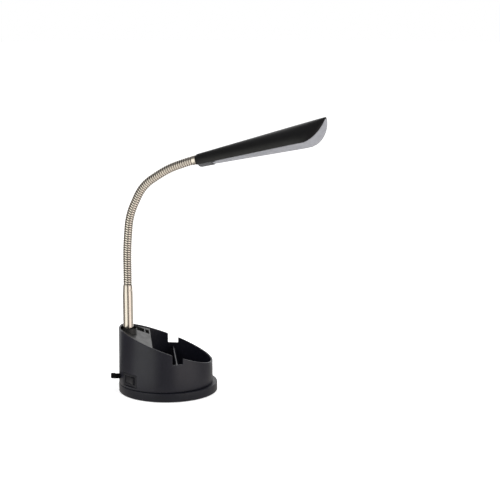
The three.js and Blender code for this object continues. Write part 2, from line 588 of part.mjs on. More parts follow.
// Slanted deck with its partition, the post's boss, the deep slot and the shallow slot
function makeDeck() {
  const reach = CUP_RADIUS;
  const deckAt = (x) => rimAt(x) - DECK_RECESS;
  const wallInside = -DECK_EDGE - PARTITION_WALL;
  const profile = slab([
    [-reach, deckAt(-reach)], [-DECK_EDGE, deckAt(-DECK_EDGE)], [-DECK_EDGE, CUP_INSIDE + GAP],
    [wallInside, CUP_INSIDE + GAP], [wallInside, deckAt(wallInside) - DECK_THICKNESS],
    [-reach, deckAt(-reach) - DECK_THICKNESS],
  ], 2 * reach);
  const boss = drum(BOSS_RADIUS, BOSS_RADIUS, BOSS_BOTTOM, RIM_FLAT_HEIGHT, PIPE_SIDES, -POST_OFFSET);

  const clipEnd = wallInside;
  const clipStart = clipEnd - CLIP_SLOT_LENGTH;
  const trayEnd = clipStart - TRAY_WALL;
  const trayStart = trayEnd - TRAY_LENGTH;
  const trayTop = deckAt(trayStart);
  const trayBottom = deckAt(trayEnd) - TRAY_DEPTH;
  const traySides = [TRAY_SIDE, Math.sqrt((CUP_RADIUS - TRAY_CORNER_INSET) ** 2 - trayStart ** 2)];
  const trayBox = block([trayStart - TRAY_WALL, trayEnd + TRAY_WALL],
    [traySides[0] - TRAY_WALL, traySides[1] + TRAY_WALL], [trayBottom - TRAY_FLOOR, trayTop])
    .intersect(underRim(DECK_RECESS + DECK_THICKNESS / 2));
  const clipBase = deckAt(clipEnd) - CLIP_SLOT_DEPTH - TRAY_FLOOR;
  const clipBox = block([clipStart - TRAY_WALL, clipEnd + PARTITION_WALL / 2],
    [traySides[0] - TRAY_WALL, traySides[1] + TRAY_WALL], [clipBase, trayTop])
    .intersect(underRim(DECK_RECESS + DECK_THICKNESS / 2));

  const postBore = [
    drum(POST_RADIUS + GAP, POST_RADIUS + GAP, POST_SEAT, RIM_FLAT_HEIGHT + OVERRUN, PIPE_SIDES,
      -POST_OFFSET),
    drum(NIPPLE_RADIUS + GAP, NIPPLE_RADIUS + GAP, BOSS_BOTTOM - OVERRUN, POST_SEAT + OVERRUN, PIPE_SIDES,
      -POST_OFFSET),
  ];
  const slots = [
    block([trayStart, trayEnd], traySides, [trayBottom, trayTop + OVERRUN]),
    block([clipStart, clipEnd], traySides, [clipBase + TRAY_FLOOR, trayTop + OVERRUN]),
  ];
  const room = cupCore(CUP_WALL + GAP, CUP_INSIDE, RIM_FLAT_HEIGHT);
  return cut(joined([profile, boss, trayBox, clipBox]), [...postBore, ...slots]).intersect(room);
}

// Post tube with its crimped tip, and the threaded nipple, washer and nut that clamp it to the boss
function makePost() {
  const post = new THREE.Group();
  post.position.set(-CUP_OFFSET - POST_OFFSET, 0, 0);
  const tubeFoot = POST_SEAT + GAP;
  const taperStart = RIM_FLAT_HEIGHT + POST_STRAIGHT;
  post.add(piece('post_tube', turned([
    [POST_BORE, tubeFoot], [POST_RADIUS, tubeFoot], [POST_RADIUS, taperStart],
    [POST_TIP_RADIUS, POST_TOP], [POST_BORE, POST_TOP],
  ]), 'nickel'));

  const nippleLow = BOSS_BOTTOM - NIPPLE_TAIL;
  post.add(piece('post_nipple', turned([
    [NIPPLE_BORE, nippleLow], [NIPPLE_RADIUS, nippleLow],
    [NIPPLE_RADIUS, nippleLow + NIPPLE_LENGTH], [NIPPLE_BORE, nippleLow + NIPPLE_LENGTH],
  ]), 'steel'));

  const washerTop = BOSS_BOTTOM - GAP;
  const washerLow = washerTop - POST_WASHER_THICKNESS;
  post.add(piece('post_washer', turned([
    [NIPPLE_RADIUS + GAP, washerLow], [POST_WASHER_RADIUS, washerLow],
    [POST_WASHER_RADIUS, washerTop], [NIPPLE_RADIUS + GAP, washerTop],
  ]), 'steel'));

  const nutTop = washerLow - GAP;
  const nut = drum(POST_NUT_RADIUS, POST_NUT_RADIUS, nutTop - POST_NUT_HEIGHT, nutTop, 6);
  const nutBore = drum(NIPPLE_RADIUS + GAP, NIPPLE_RADIUS + GAP, nutTop - POST_NUT_HEIGHT - OVERRUN,
    nutTop + OVERRUN);
  post.add(piece('post_nut', nut.subtract(nutBore), 'brass'));
  return post;
}

// The neck's path in its own XZ plane: straight runs and arcs, each with its length and turn.
// Each bend point has one hose radius of straight hose on either side. The ferrule and the head
// run straight on from the hose's end.
const neckRuns = [{ length: HOSE_FOOT + HOSE_RADIUS, turn: 0 }];
HOSE_SPANS.forEach((span, i) => {
  neckRuns.push({ length: span - 2 * HOSE_RADIUS, turn: radians(HOSE_SPAN_TURNS_DEGREES[i]) });
  neckRuns.push({ length: 2 * HOSE_RADIUS, turn: 0 });
});
neckRuns.push({ length: HOSE_TAIL - HOSE_RADIUS, turn: radians(HOSE_TAIL_TURN_DEGREES) });
const HOSE_FOOT_LEVEL = POST_TOP + GAP;
const HOSE_LENGTH = neckRuns.reduce((sum, run) => sum + run.length, 0);
neckRuns.push({ length: 0, turn: 0 });
const bendPlaces = HOSE_SPANS.reduce((places, span) => [...places, places.at(-1) + span], [HOSE_FOOT]);

// Place and lean of the neck at a distance along it; lean is the angle from upright towards +X
function neckAt(distance) {
  let x = 0;
  let z = HOSE_FOOT_LEVEL;
  let lean = 0;
  let left = distance;
  for (const run of neckRuns) {
    const isLast = run === neckRuns.at(-1);
    const length = isLast ? left : Math.min(left, run.length);
    const turn = isLast ? 0 : (run.turn * length) / run.length;
    const chord = turn === 0 ? length : (2 * length * Math.sin(turn / 2)) / turn;
    x += chord * Math.sin(lean + turn / 2);
    z += chord * Math.cos(lean + turn / 2);
    lean += turn;
    left -= length;
    if (left <= 0) break;
  }
  const direction = new THREE.Vector3(Math.sin(lean), 0, Math.cos(lean));
  return { place: new THREE.Vector3(x, 0, z), direction, lean };
}

const ACROSS = new THREE.Vector3(0, 1, 0);

// Ring round the neck at a distance along it
function neckRing(distance, radius, sides) {
  const { place, direction } = neckAt(distance);
  return ringAt(place, direction, ACROSS, radius, sides);
}

// Plain round stretch of the neck's own path, with a ring at each step
function neckBar(from, to, radius, step, sides) {
  const steps = Math.max(1, Math.round((to - from) / step));
  return skin(Array.from({ length: steps + 1 },
    (_, i) => neckRing(from + ((to - from) * i) / steps, radius, sides)));
}

// Ball on a bend point
function bendBall(distance, radius) {
  const { place, lean } = neckAt(distance);
  const geometry = new THREE.SphereGeometry(radius, BALL_SIDES, BALL_SIDES / 2);
  geometry.rotateX(Math.PI / 2);
  geometry.rotateY(lean);
  geometry.translate(place.x, place.y, place.z);
  return solid(geometry);
}

// One length of ribbed hose, with a socket at its lower bend and a ball at its upper one
function makeHose(from, to, hasSocket, hasBall) {
  const ribStart = from + (hasSocket ? HOSE_RADIUS : 0);
  const ribEnd = to - (hasBall ? COLLAR_LENGTH : 0);
  const ribs = Math.round((ribEnd - ribStart) / HOSE_PITCH);
  const half = (ribEnd - ribStart) / (2 * ribs);
  const rings = Array.from({ length: 2 * ribs + 1 }, (_, i) => neckRing(ribStart + i * half,
    i % 2 === 0 ? HOSE_ROOT_RADIUS : HOSE_RADIUS, HOSE_SIDES));
  const bodies = [solid(skin(rings))];
  if (hasSocket) bodies.push(solid(neckBar(from, ribStart + half, HOSE_RADIUS, HOSE_PITCH, BALL_SIDES)));
  if (hasBall) {
    bodies.push(solid(neckBar(ribEnd - half, to, HOSE_RADIUS, HOSE_PITCH, BALL_SIDES)));
    bodies.push(bendBall(to, HOSE_RADIUS));
  }
  const boreEnd = to + (hasBall ? HOSE_RADIUS : 0) + OVERRUN;
  const boreStep = BORE_RING_RIBS * HOSE_PITCH;
  const tools = [solid(neckBar(from - OVERRUN, boreEnd, HOSE_BORE, boreStep, HOSE_SIDES))];
  if (hasSocket) tools.push(bendBall(from, HOSE_RADIUS + SOCKET_GAP));
  return cut(joined(bodies), tools);
}

const FERRULE_START = HOSE_LENGTH + GAP;
const HEAD_START = FERRULE_START + FERRULE_LENGTH + GAP;

// Gooseneck in six lengths, with the lamp wire in each, in the neck's own plane
function makeNeck() {
  const neck = new THREE.Group();
  const ends = [0, ...bendPlaces, HOSE_LENGTH];
  for (let i = 0; i + 1 < ends.length; i += 1) {
    const hasSocket = i > 0;
    const hasBall = i + 2 < ends.length;
    neck.add(piece(`gooseneck_${i + 1}`, makeHose(ends[i], ends[i + 1], hasSocket, hasBall), 'nickel'));
    const wireStart = hasSocket ? ends[i] + HOSE_RADIUS + WIRE_SETBACK : 0;
    const wireEnd = hasBall ? ends[i + 1] + HOSE_RADIUS - WIRE_SETBACK : ends[i + 1];
    neck.add(piece(`neck_wire_${i + 1}`,
      neckBar(wireStart, wireEnd, WIRE_RADIUS, BORE_RING_RIBS * HOSE_PITCH, HOSE_SIDES), 'wire'));
  }
  neck.add(makeFerrule(), makeHead());
  return neck;
}

// Puts a group that was drawn along +X on the neck's path, at a distance along it
function onNeck(group, distance, roll = 0) {
  const { place, lean } = neckAt(distance);
  group.position.copy(place);
  group.rotation.set(roll, lean - Math.PI / 2, 0, 'YXZ');
  return group;
}

// Smooth ferrule with its threaded stub, and the nut inside the head
function makeFerrule() {
  const group = new THREE.Group();
  const stubEnd = FERRULE_LENGTH + GAP + STUB_LENGTH;
  const ferrule = cut(joined([
    barX(FERRULE_RADIUS, 0, FERRULE_LENGTH, 0, 0, PIPE_SIDES),
    barX(STUB_RADIUS, 0, stubEnd, 0, 0, PIPE_SIDES),
  ]), [barX(STUB_BORE, -OVERRUN, stubEnd + OVERRUN)]);
  group.add(piece('neck_ferrule', ferrule, 'nickel'));
  const nutStart = FERRULE_LENGTH + GAP + HEAD_END_WALL + GAP;
  const nut = barX(HEAD_NUT_RADIUS, nutStart, nutStart + HEAD_NUT_HEIGHT, 0, 0, 6);
  const nutBore = barX(STUB_RADIUS + GAP, nutStart - OVERRUN, nutStart + HEAD_NUT_HEIGHT + OVERRUN, 0, 0,
    PIPE_SIDES);
  group.add(piece('head_nut', nut.subtract(nutBore), 'brass'));
  return onNeck(group, FERRULE_START);
}

// Sizes of the head's section at a distance from the neck
const alongHead = (near, far, x) => near + ((far - near) * x) / HEAD_LENGTH;
const headTopAt = (x) => alongHead(HEAD_NECK_TOP, HEAD_TIP_TOP, x);
const headSweepAt = (x) => Math.min(1, Math.max(0, (x - HEAD_SWEEP_START) / HEAD_SWEEP_LENGTH));
const headPlainRimAt = (x) => -alongHead(HEAD_NECK_DEPTH, HEAD_TIP_DEPTH, x);

// Half width of the head's plan outline, which ends in half an ellipse
function headHalfWidthAt(x) {
  const share = Math.min(1, Math.max(0, (x - HEAD_ROUND_START) / HEAD_ROUND_LENGTH));
  return alongHead(HEAD_NECK_HALF_WIDTH, HEAD_TIP_HALF_WIDTH, x) * Math.sqrt(1 - share ** 2);
}

// Level of the rim, which sweeps up to the top at the tip
function headRimAt(x) {
  const rise = 1 - (1 - headSweepAt(x) ** HEAD_SWEEP_POWER) ** (1 / HEAD_SWEEP_POWER);
  return headPlainRimAt(x) + (headTopAt(x) - headPlainRimAt(x)) * rise;
}

// Places along the head: even to the round end, then closer towards the tip
function headStations(from, to, evenSteps, roundSteps) {
  const even = Array.from({ length: evenSteps },
    (_, i) => from + ((HEAD_ROUND_START - from) * i) / evenSteps);
  const round = Array.from({ length: roundSteps + 1 },
    (_, i) => HEAD_ROUND_START + (to - HEAD_ROUND_START) * Math.sin((Math.PI * i) / (2 * roundSteps)));
  return [...even, ...round];
}

// Ring of a D section: half an ellipse over a skirt that runs straight down
function archRing(x, halfWidth, skirtLow, skirtHigh, top) {
  const arc = Array.from({ length: SHELL_ARC_STEPS + 1 }, (_, i) => {
    const angle = (Math.PI * i) / SHELL_ARC_STEPS;
    const level = skirtHigh + (top - skirtHigh) * Math.sin(angle);
    return new THREE.Vector3(x, halfWidth * Math.cos(angle), level);
  });
  return [new THREE.Vector3(x, halfWidth, skirtLow), ...arc, new THREE.Vector3(x, -halfWidth, skirtLow)];
}

// Tapered half-round shell, open below, with its screw bosses and the bore for the neck
function makeHeadShell() {
  const tip = HEAD_LENGTH - HEAD_TIP_BLUNT;
  const roundedEnd = HEAD_END_ROUND_SHARES.map((along) => {
    const x = along * HEAD_END_ROUND;
    const share = HEAD_END_SHARE + (1 - HEAD_END_SHARE) * Math.sqrt(1 - (1 - along) ** 2);
    return archRing(x, headHalfWidthAt(x) * share, headRimAt(x) * share, (headRimAt(x) + RIM_LAND) * share,
      headTopAt(x) * share);
  });
  const outsidePlaces = headStations(HEAD_END_ROUND, tip, SHELL_EVEN_STEPS, SHELL_ROUND_STEPS).slice(1);
  const outside = outsidePlaces.map((x) => {
    const rim = headRimAt(x);
    const top = headTopAt(x);
    const land = Math.min(RIM_LAND, (top - rim) * RIM_LAND_SHARE);
    return archRing(x, headHalfWidthAt(x), rim, rim + land, top);
  });
  const widestShare = 1 - SHELL_WALL / headHalfWidthAt(HEAD_ROUND_START);
  const insidePlaces = headStations(HEAD_END_WALL, tip, SHELL_EVEN_STEPS, SHELL_ROUND_STEPS);
  const inside = [...insidePlaces, HEAD_LENGTH + OVERRUN].map((x) => {
    const half = x > HEAD_ROUND_START
      ? headHalfWidthAt(Math.min(x, tip)) * widestShare
      : headHalfWidthAt(x) - SHELL_WALL;
    const rim = headRimAt(Math.min(x, tip));
    const roof = headTopAt(x) - SHELL_WALL;
    const spring = Math.min(rim, roof - SHELL_WALL / 2);
    return archRing(x, half, spring - OVERRUN, spring, roof);
  });
  const bosses = headScrewPlaces.map((x) => onRimPlane(drum(HEAD_BOSS_RADIUS, HEAD_BOSS_RADIUS,
    HEAT_PLATE_TOP + GAP, headTopAt(x) - headPlainRimAt(x) - SHELL_WALL / 2, SMALL_SIDES, x)));
  const holes = headScrewPlaces.map((x) => onRimPlane(drum(HEAD_SCREW_RADIUS + GAP, HEAD_SCREW_RADIUS + GAP,
    HEAT_PLATE_TOP - OVERRUN, BOARD_LIFT + HEAD_SCREW_LENGTH, SMALL_SIDES, x)));
  const bore = barX(STUB_RADIUS + GAP, -OVERRUN, HEAD_END_WALL + OVERRUN, 0, 0, PIPE_SIDES);
  const shell = solid(skin([...roundedEnd, ...outside])).subtract(solid(skin(inside)));
  return cut(shell.add(joined(bosses)), [...holes, bore]);
}

const RIM_FALL = (HEAD_TIP_DEPTH - HEAD_NECK_DEPTH) / HEAD_LENGTH;
const headScrewPlaces = Array.from({ length: HEAD_SCREW_COUNT },
  (_, i) => HEAD_SCREW_FIRST + i * HEAD_SCREW_SPACING);

const BOARD_TOP = BOARD_LIFT + BOARD_THICKNESS;
const HEAT_PLATE_LOW = BOARD_TOP + GAP;
const HEAT_PLATE_TOP = HEAT_PLATE_LOW + HEAT_PLATE_THICKNESS;

// Places a solid that was drawn over the rim's plane, with its length along +X, into the head
function onRimPlane(body) {
  const pitch = THREE.MathUtils.radToDeg(Math.atan(RIM_FALL));
  return body.rotate([0, pitch, 0]).translate([0, 0, -HEAD_NECK_DEPTH]);
}

// Curved sheet that closes the head's underside: across the rim at each place, bulging outwards.
// halfWidth and bulge are functions of the place; the wall's thickness is measured square to the rim.
function undersideSheet(places, halfWidth, bulge, wall) {
  const step = HEAD_TIP_BLUNT;
  const rings = places.map((x) => {
    const slope = (headRimAt(x + step / 2) - headRimAt(x - step / 2)) / step;
    const scale = Math.sqrt(1 + slope ** 2);
    const out = new THREE.Vector3(slope / scale, 0, -1 / scale);
    const line = (depth) => Array.from({ length: SHEET_ACROSS_STEPS + 1 }, (_, i) => {
      const share = (2 * i) / SHEET_ACROSS_STEPS - 1;
      return new THREE.Vector3(x, share * halfWidth(x), headRimAt(x))
        .addScaledVector(out, bulge(x) * (1 - share ** 2) - depth);
    });
    return [...line(0), ...line(wall).reverse()];
  });
  return skin(rings);
}

// Lamp head: shell, neck cover, diffuser, light board, heat plate, screws and the lead to the board
function makeHead() {
  const head = new THREE.Group();
  head.add(piece('head_shell', makeHeadShell(), 'blackPlastic'));

  const widestShare = 1 - SHELL_WALL / headHalfWidthAt(HEAD_ROUND_START);
  const sheetHalfWidth = (x) => (x > HEAD_ROUND_START
    ? headHalfWidthAt(x) * widestShare
    : headHalfWidthAt(x) - SHELL_WALL) - GAP;
  const coverStart = HEAD_END_WALL + GAP;
  const coverPlaces = Array.from({ length: COVER_STEPS + 1 },
    (_, i) => coverStart + (HEAD_COVER_LENGTH * i) / COVER_STEPS);
  const belly = (x) => HEAD_COVER_BELLY * Math.sqrt(Math.min(1, x / HEAD_COVER_SWELL));
  head.add(piece('head_cover', undersideSheet(coverPlaces, sheetHalfWidth, belly, HEAD_COVER_WALL),
    'greyPlastic'));

  const lastPlace = diffuserEnd();
  const places = headStations(DIFFUSER_START, lastPlace, SHEET_EVEN_STEPS, SHELL_ROUND_STEPS);
  const bulge = (x) => (DIFFUSER_BULGE * headHalfWidthAt(x)) / headHalfWidthAt(HEAD_ROUND_START);
  head.add(piece('diffuser', undersideSheet(places, sheetHalfWidth, bulge, DIFFUSER_WALL), 'frosted'));

  head.add(makeLightBoard());
  return onNeck(head, HEAD_START, radians(HEAD_ROLL_DEGREES));
}

// Where the diffuser's rim has swept up to the shell's roof
function diffuserEnd() {
  const room = (x) => headTopAt(x) - SHELL_WALL - GAP - DIFFUSER_WALL / 2 - headRimAt(x);
  let low = HEAD_SWEEP_START;
  let high = HEAD_LENGTH;
  for (let i = 0; i < BISECTIONS; i += 1) {
    const middle = (low + high) / 2;
    if (room(middle) > 0) low = middle;
    else high = middle;
  }
  return low;
}

// Outline of the light board or the heat plate: tapered, with a round far end
function boardOutline(inset) {
  const roundStart = BOARD_END - BOARD_ROUND;
  const halfWidthAt = (x) => BOARD_NECK_HALF_WIDTH - inset
    + ((BOARD_TIP_HALF_WIDTH - BOARD_NECK_HALF_WIDTH) * (x - BOARD_START)) / (BOARD_END - BOARD_START);
  const side = [[BOARD_START, halfWidthAt(BOARD_START)]];
  for (let i = 0; i < BOARD_ROUND_STEPS; i += 1) {
    const angle = (Math.PI * i) / (2 * BOARD_ROUND_STEPS);
    side.push([roundStart + BOARD_ROUND * Math.sin(angle), halfWidthAt(roundStart) * Math.cos(angle)]);
  }
  return [...side, [BOARD_END, 0], ...side.toReversed().map(([x, y]) => [x, -y])].reverse();
}

// Light board with its diodes, the heat plate over it and their screws, level with the rim plane
function makeLightBoard() {
  const group = new THREE.Group();
  group.position.set(0, 0, -HEAD_NECK_DEPTH);
  group.rotation.y = Math.atan(RIM_FALL);
  const screwHoles = (low, high) => headScrewPlaces.map((x) => drum(HEAD_SCREW_RADIUS + GAP,
    HEAD_SCREW_RADIUS + GAP, low - OVERRUN, high + OVERRUN, SMALL_SIDES, x));
  const diodes = [];
  for (let i = 0; i < LED_PER_ROW; i += 1) {
    const x = LED_FIRST + i * LED_SPACING;
    const half = BOARD_NECK_HALF_WIDTH
      + ((BOARD_TIP_HALF_WIDTH - BOARD_NECK_HALF_WIDTH) * (x - BOARD_START)) / (BOARD_END - BOARD_START);
    for (const y of [-half * LED_ROW_SHARE, half * LED_ROW_SHARE]) {
      diodes.push(block([x - LED_LENGTH / 2, x + LED_LENGTH / 2], [y - LED_WIDTH / 2, y + LED_WIDTH / 2],
        [BOARD_LIFT - LED_HEIGHT, BOARD_LIFT + BOARD_THICKNESS / 2]));
    }
  }
  const board = joined([plate(boardOutline(0), BOARD_LIFT, BOARD_TOP), ...diodes]);
  group.add(piece('light_board', cut(board, screwHoles(BOARD_LIFT, BOARD_TOP)), 'circuit'));
  group.add(piece('heat_plate', cut(plate(boardOutline(GAP), HEAT_PLATE_LOW, HEAT_PLATE_TOP),
    screwHoles(HEAT_PLATE_LOW, HEAT_PLATE_TOP)), 'aluminium'));

  headScrewPlaces.forEach((x, i) => {
    const headTop = BOARD_LIFT - GAP;
    const screw = joined([
      drum(HEAD_SCREW_HEAD_RADIUS, HEAD_SCREW_HEAD_RADIUS, headTop - HEAD_SCREW_HEAD_HEIGHT, headTop,
        SMALL_SIDES, x),
      drum(HEAD_SCREW_RADIUS, HEAD_SCREW_RADIUS, headTop, headTop + HEAD_SCREW_LENGTH, SMALL_SIDES, x),
    ]);
    group.add(piece(`head_screw_${i + 1}`, screw, 'steel'));
  });

  const leadLevel = BOARD_LIFT + BOARD_THICKNESS / 2;
  const leadStart = new THREE.Vector3(STUB_LENGTH + GAP, 0, HEAD_NECK_DEPTH);
  const leadEnd = new THREE.Vector3(BOARD_START - GAP, 0, leadLevel);
  const straight = 2 * HEAD_WIRE_RADIUS;
  const lead = new THREE.CatmullRomCurve3([
    leadStart, leadStart.clone().setX(leadStart.x + straight),
    leadEnd.clone().setX(leadEnd.x - straight), leadEnd,
  ]);
  group.add(piece('head_lead', tubeAlong(lead, HEAD_WIRE_RADIUS, HOSE_SIDES, LEAD_STEPS), 'wire'));
  return group;
}

// Round tube along a curve, as an extruded section
function tubeAlong(curve, radius, sides, steps) {
  const section = new THREE.Shape(Array.from({ length: sides }, (_, i) => {
    const angle = (2 * Math.PI * i) / sides;
    return new THREE.Vector2(radius * Math.cos(angle), radius * Math.sin(angle));
  }));
  return new THREE.ExtrudeGeometry(section, { steps, extrudePath: curve, bevelEnabled: false });
}

// Rocker switch: bezel with its body, the rocker on its pins, and two terminals behind
function makeSwitch() {
  const group = new THREE.Group();
  group.position.set(-CUP_OFFSET, 0, SWITCH_HEIGHT);
  group.rotation.z = radians(SWITCH_ANGLE_DEGREES);
  const bodyBack = SWITCH_FACE - SWITCH_BODY_DEPTH;
  const bodyHalf = SWITCH_BODY_WIDTH / 2;
  const bodyHalfHeight = SWITCH_BODY_HEIGHT / 2;
  const pivotX = SWITCH_FACE - ROCKER_PIVOT_DEPTH;
  const bezel = cut(joined([
    block([SWITCH_FACE - BEZEL_THICKNESS, SWITCH_FACE], [-BEZEL_WIDTH / 2, BEZEL_WIDTH / 2],
      [-BEZEL_HEIGHT / 2, BEZEL_HEIGHT / 2]),
    block([bodyBack, SWITCH_FACE - BEZEL_THICKNESS / 2], [-bodyHalf, bodyHalf],
      [-bodyHalfHeight, bodyHalfHeight]),
  ]), [
    block([bodyBack + SWITCH_BODY_WALL, SWITCH_FACE + OVERRUN],
      [-bodyHalf + SWITCH_BODY_WALL, bodyHalf - SWITCH_BODY_WALL],
      [-bodyHalfHeight + SWITCH_BODY_WALL, bodyHalfHeight - SWITCH_BODY_WALL]),
    drum(ROCKER_PIN_RADIUS + GAP, ROCKER_PIN_RADIUS + GAP, -ROCKER_HEIGHT / 2 - ROCKER_PIN_REACH - GAP / 2,
      ROCKER_HEIGHT / 2 + ROCKER_PIN_REACH + GAP / 2, SMALL_SIDES, pivotX),
  ]);
  group.add(piece('switch_bezel', bezel, 'blackPlastic'));

  const half = ROCKER_WIDTH / 2;
  const outline = [
    [-ROCKER_BACK, -half], [ROCKER_FACE_END, -half], [ROCKER_FACE_MIDDLE, 0], [ROCKER_FACE_END, half],
    [-ROCKER_BACK, half],
  ];
  const pinReach = ROCKER_HEIGHT / 2 + ROCKER_PIN_REACH;
  const rocker = piece('switch_rocker', joined([
    plate(outline, -ROCKER_HEIGHT / 2, ROCKER_HEIGHT / 2),
    drum(ROCKER_PIN_RADIUS, ROCKER_PIN_RADIUS, -pinReach, pinReach, SMALL_SIDES),
  ]), 'blackPlastic');
  rocker.position.set(pivotX, 0, 0);
  rocker.rotation.z = radians(-ROCKER_TILT_DEGREES);
  group.add(rocker);

  [-1, 1].forEach((side, i) => {
    const y = (side * TERMINAL_SPACING) / 2;
    group.add(piece(`switch_terminal_${i + 1}`, block(
      [bodyBack - GAP - TERMINAL_LENGTH, bodyBack - GAP],
      [y - TERMINAL_THICKNESS / 2, y + TERMINAL_THICKNESS / 2],
      [-TERMINAL_WIDTH / 2, TERMINAL_WIDTH / 2]), 'brass'));
  });
  return group;
}

const driverScrewPlaces = [-1, 1].map((side) => [
  DRIVER_X + side * (DRIVER_WIDTH / 2 - DRIVER_POST_INSET),
  DRIVER_Y + side * (DRIVER_LENGTH / 2 - DRIVER_POST_INSET),
]);

// Driver board with its transformer and capacitor, and its two screws
function makeDriver() {
  const group = new THREE.Group();
  const low = CUP_INSIDE + DRIVER_LIFT + GAP;
  const top = low + DRIVER_THICKNESS;
  const [coreX, coreY, coreZ] = TRANSFORMER_SIZE;
  const seat = top - DRIVER_THICKNESS / 2;
  const board = cut(joined([
    block([DRIVER_X - DRIVER_WIDTH / 2, DRIVER_X + DRIVER_WIDTH / 2],
      [DRIVER_Y - DRIVER_LENGTH / 2, DRIVER_Y + DRIVER_LENGTH / 2], [low, top]),
    block([DRIVER_X - coreX / 2, DRIVER_X + coreX / 2], [DRIVER_Y - coreY / 2, DRIVER_Y + coreY / 2],
      [seat, top + coreZ]),
    drum(CAPACITOR_RADIUS, CAPACITOR_RADIUS, seat, top + CAPACITOR_HEIGHT, SMALL_SIDES,
      DRIVER_X - DRIVER_WIDTH / 2 + CAPACITOR_RADIUS + GAP,
      DRIVER_Y + DRIVER_LENGTH / 2 - CAPACITOR_RADIUS - GAP),
  ]), driverScrewPlaces.map(([x, y]) => drum(DRIVER_SCREW_RADIUS + GAP, DRIVER_SCREW_RADIUS + GAP,
    low - OVERRUN, top + OVERRUN, SMALL_SIDES, x, y)));
  group.add(piece('driver_board', board, 'circuit'));
  driverScrewPlaces.forEach(([x, y], i) => {
    const headLow = top + GAP;
    const screw = joined([
      drum(DRIVER_SCREW_HEAD_RADIUS, DRIVER_SCREW_HEAD_RADIUS, headLow, headLow + DRIVER_SCREW_HEAD_HEIGHT,
        SMALL_SIDES, x, y),
      drum(DRIVER_SCREW_RADIUS, DRIVER_SCREW_RADIUS, headLow - DRIVER_SCREW_LENGTH, headLow, SMALL_SIDES,
        x, y),
    ]);
    group.add(piece(`driver_screw_${i + 1}`, screw, 'steel'));
  });
  return group;
}

const BOOT_ROOT_Y = CUP_RADIUS * Math.sin(radians(CORD_EXIT_DEGREES));
const BOOT_AXIS_X = -CUP_OFFSET - BOOT_REACH;
const BOOT_FLANGE_SEAT = Math.abs(BOOT_ROOT_Y) + BOOT_FLANGE_RADIUS;
const BOOT_INSIDE = -CUP_OFFSET + GAP + BOOT_FLANGE_THICKNESS
  - Math.sqrt(cupRadiusAt(CORD_EXIT_HEIGHT, CUP_WALL) ** 2 - BOOT_FLANGE_SEAT ** 2);
const BOOT_ROOT = new THREE.Vector3(BOOT_AXIS_X, BOOT_ROOT_Y, CORD_EXIT_HEIGHT);
const BOOT_WAY = new THREE.Vector3(0, Math.cos(radians(BOOT_DROOP_DEGREES)),
  -Math.sin(radians(BOOT_DROOP_DEGREES)));
const BOOT_END = BOOT_ROOT.clone().addScaledVector(BOOT_WAY, BOOT_BEND + BOOT_OUTLET);

// Ring round a square section with bevelled corners
function squareRing(place, direction, side, half) {
  const up = new THREE.Vector3().crossVectors(direction, side);
  const corner = half - BOOT_CORNER;
  const outline = [[half, -corner], [half, corner], [corner, half], [-corner, half],
    [-half, corner], [-half, -corner], [-corner, -half], [corner, -half]];
  return outline.map(([across, along]) => place.clone().addScaledVector(side, across)
    .addScaledVector(up, along));
}

// Right-angle boot: a flange inside the wall, a throat through it, then out, round and back, tapering
function makeBoot() {
  const wallOutside = -CUP_OFFSET - Math.sqrt(cupRadiusAt(CORD_EXIT_HEIGHT, 0) ** 2 - BOOT_ROOT_Y ** 2);
  const bendStart = BOOT_AXIS_X + BOOT_BEND;
  const flangeOuter = BOOT_INSIDE - BOOT_FLANGE_THICKNESS;
  const outwards = new THREE.Vector3(-1, 0, 0);
  const side = new THREE.Vector3().crossVectors(BOOT_WAY, outwards);
  const rings = [wallOutside - BOOT_STANDOFF, bendStart].map(
    (x) => squareRing(BOOT_ROOT.clone().setX(x), outwards, side, BOOT_RADIUS));
  for (let i = 1; i <= BOOT_BEND_STEPS; i += 1) {
    const angle = (Math.PI * i) / (2 * BOOT_BEND_STEPS);
    const place = BOOT_ROOT.clone().setX(bendStart - BOOT_BEND * Math.sin(angle))
      .addScaledVector(BOOT_WAY, BOOT_BEND * (1 - Math.cos(angle)));
    const direction = outwards.clone().multiplyScalar(Math.cos(angle))
      .addScaledVector(BOOT_WAY, Math.sin(angle));
    rings.push(squareRing(place, direction, side, BOOT_RADIUS));
  }
  rings.push(squareRing(BOOT_END, BOOT_WAY, side, BOOT_END_RADIUS));
  const throat = barX(BOOT_THROAT_RADIUS, wallOutside - BOOT_STANDOFF - OVERRUN,
    flangeOuter + BOOT_FLANGE_THICKNESS / 2, BOOT_ROOT_Y, CORD_EXIT_HEIGHT);
  const flange = barX(BOOT_FLANGE_RADIUS, flangeOuter, BOOT_INSIDE, BOOT_ROOT_Y, CORD_EXIT_HEIGHT);
  return joined([solid(skin(rings)), throat, flange]);
}

// Routes chosen by hand, from the piece that each stretch leaves. The cord leaves the boot straight
// back, comes down round the back of the base and lies on the table; the tail comes down off the
// coil, lies on the table and rises to the plug.
const cordRoute = [
  [0, 0, 0], [0, 6, -1.3], [1.3, 12.6, -3.2], [4.2, 19.2, -5.9], [8.6, 25.7, -9.1], [14.4, 32.3, -11.8],
  [21.6, 38.1, -13.6], [30, 43, -14.4], [39.4, 46.8, -14.55], [49.4, 49.35, -14.55],
  [59.6, 50.65, -14.55], [68, 50.97, -14.55], [74, 50.97, -14.55],
];
const tailRoute = [
  [0, 0, 0], [-5, 0, -0.2], [-11, -0.1, -1.8], [-17.5, -0.3, -3.9], [-24, -0.9, -4.9], [-30.5, -2.8, -4.9],
  [-36.2, -6.4, -4.6], [-40.4, -11.6, -3], [-42.4, -17.2, -1], [-42.8, -21.5, -0.2], [-42.8, -25, -0.1],
];

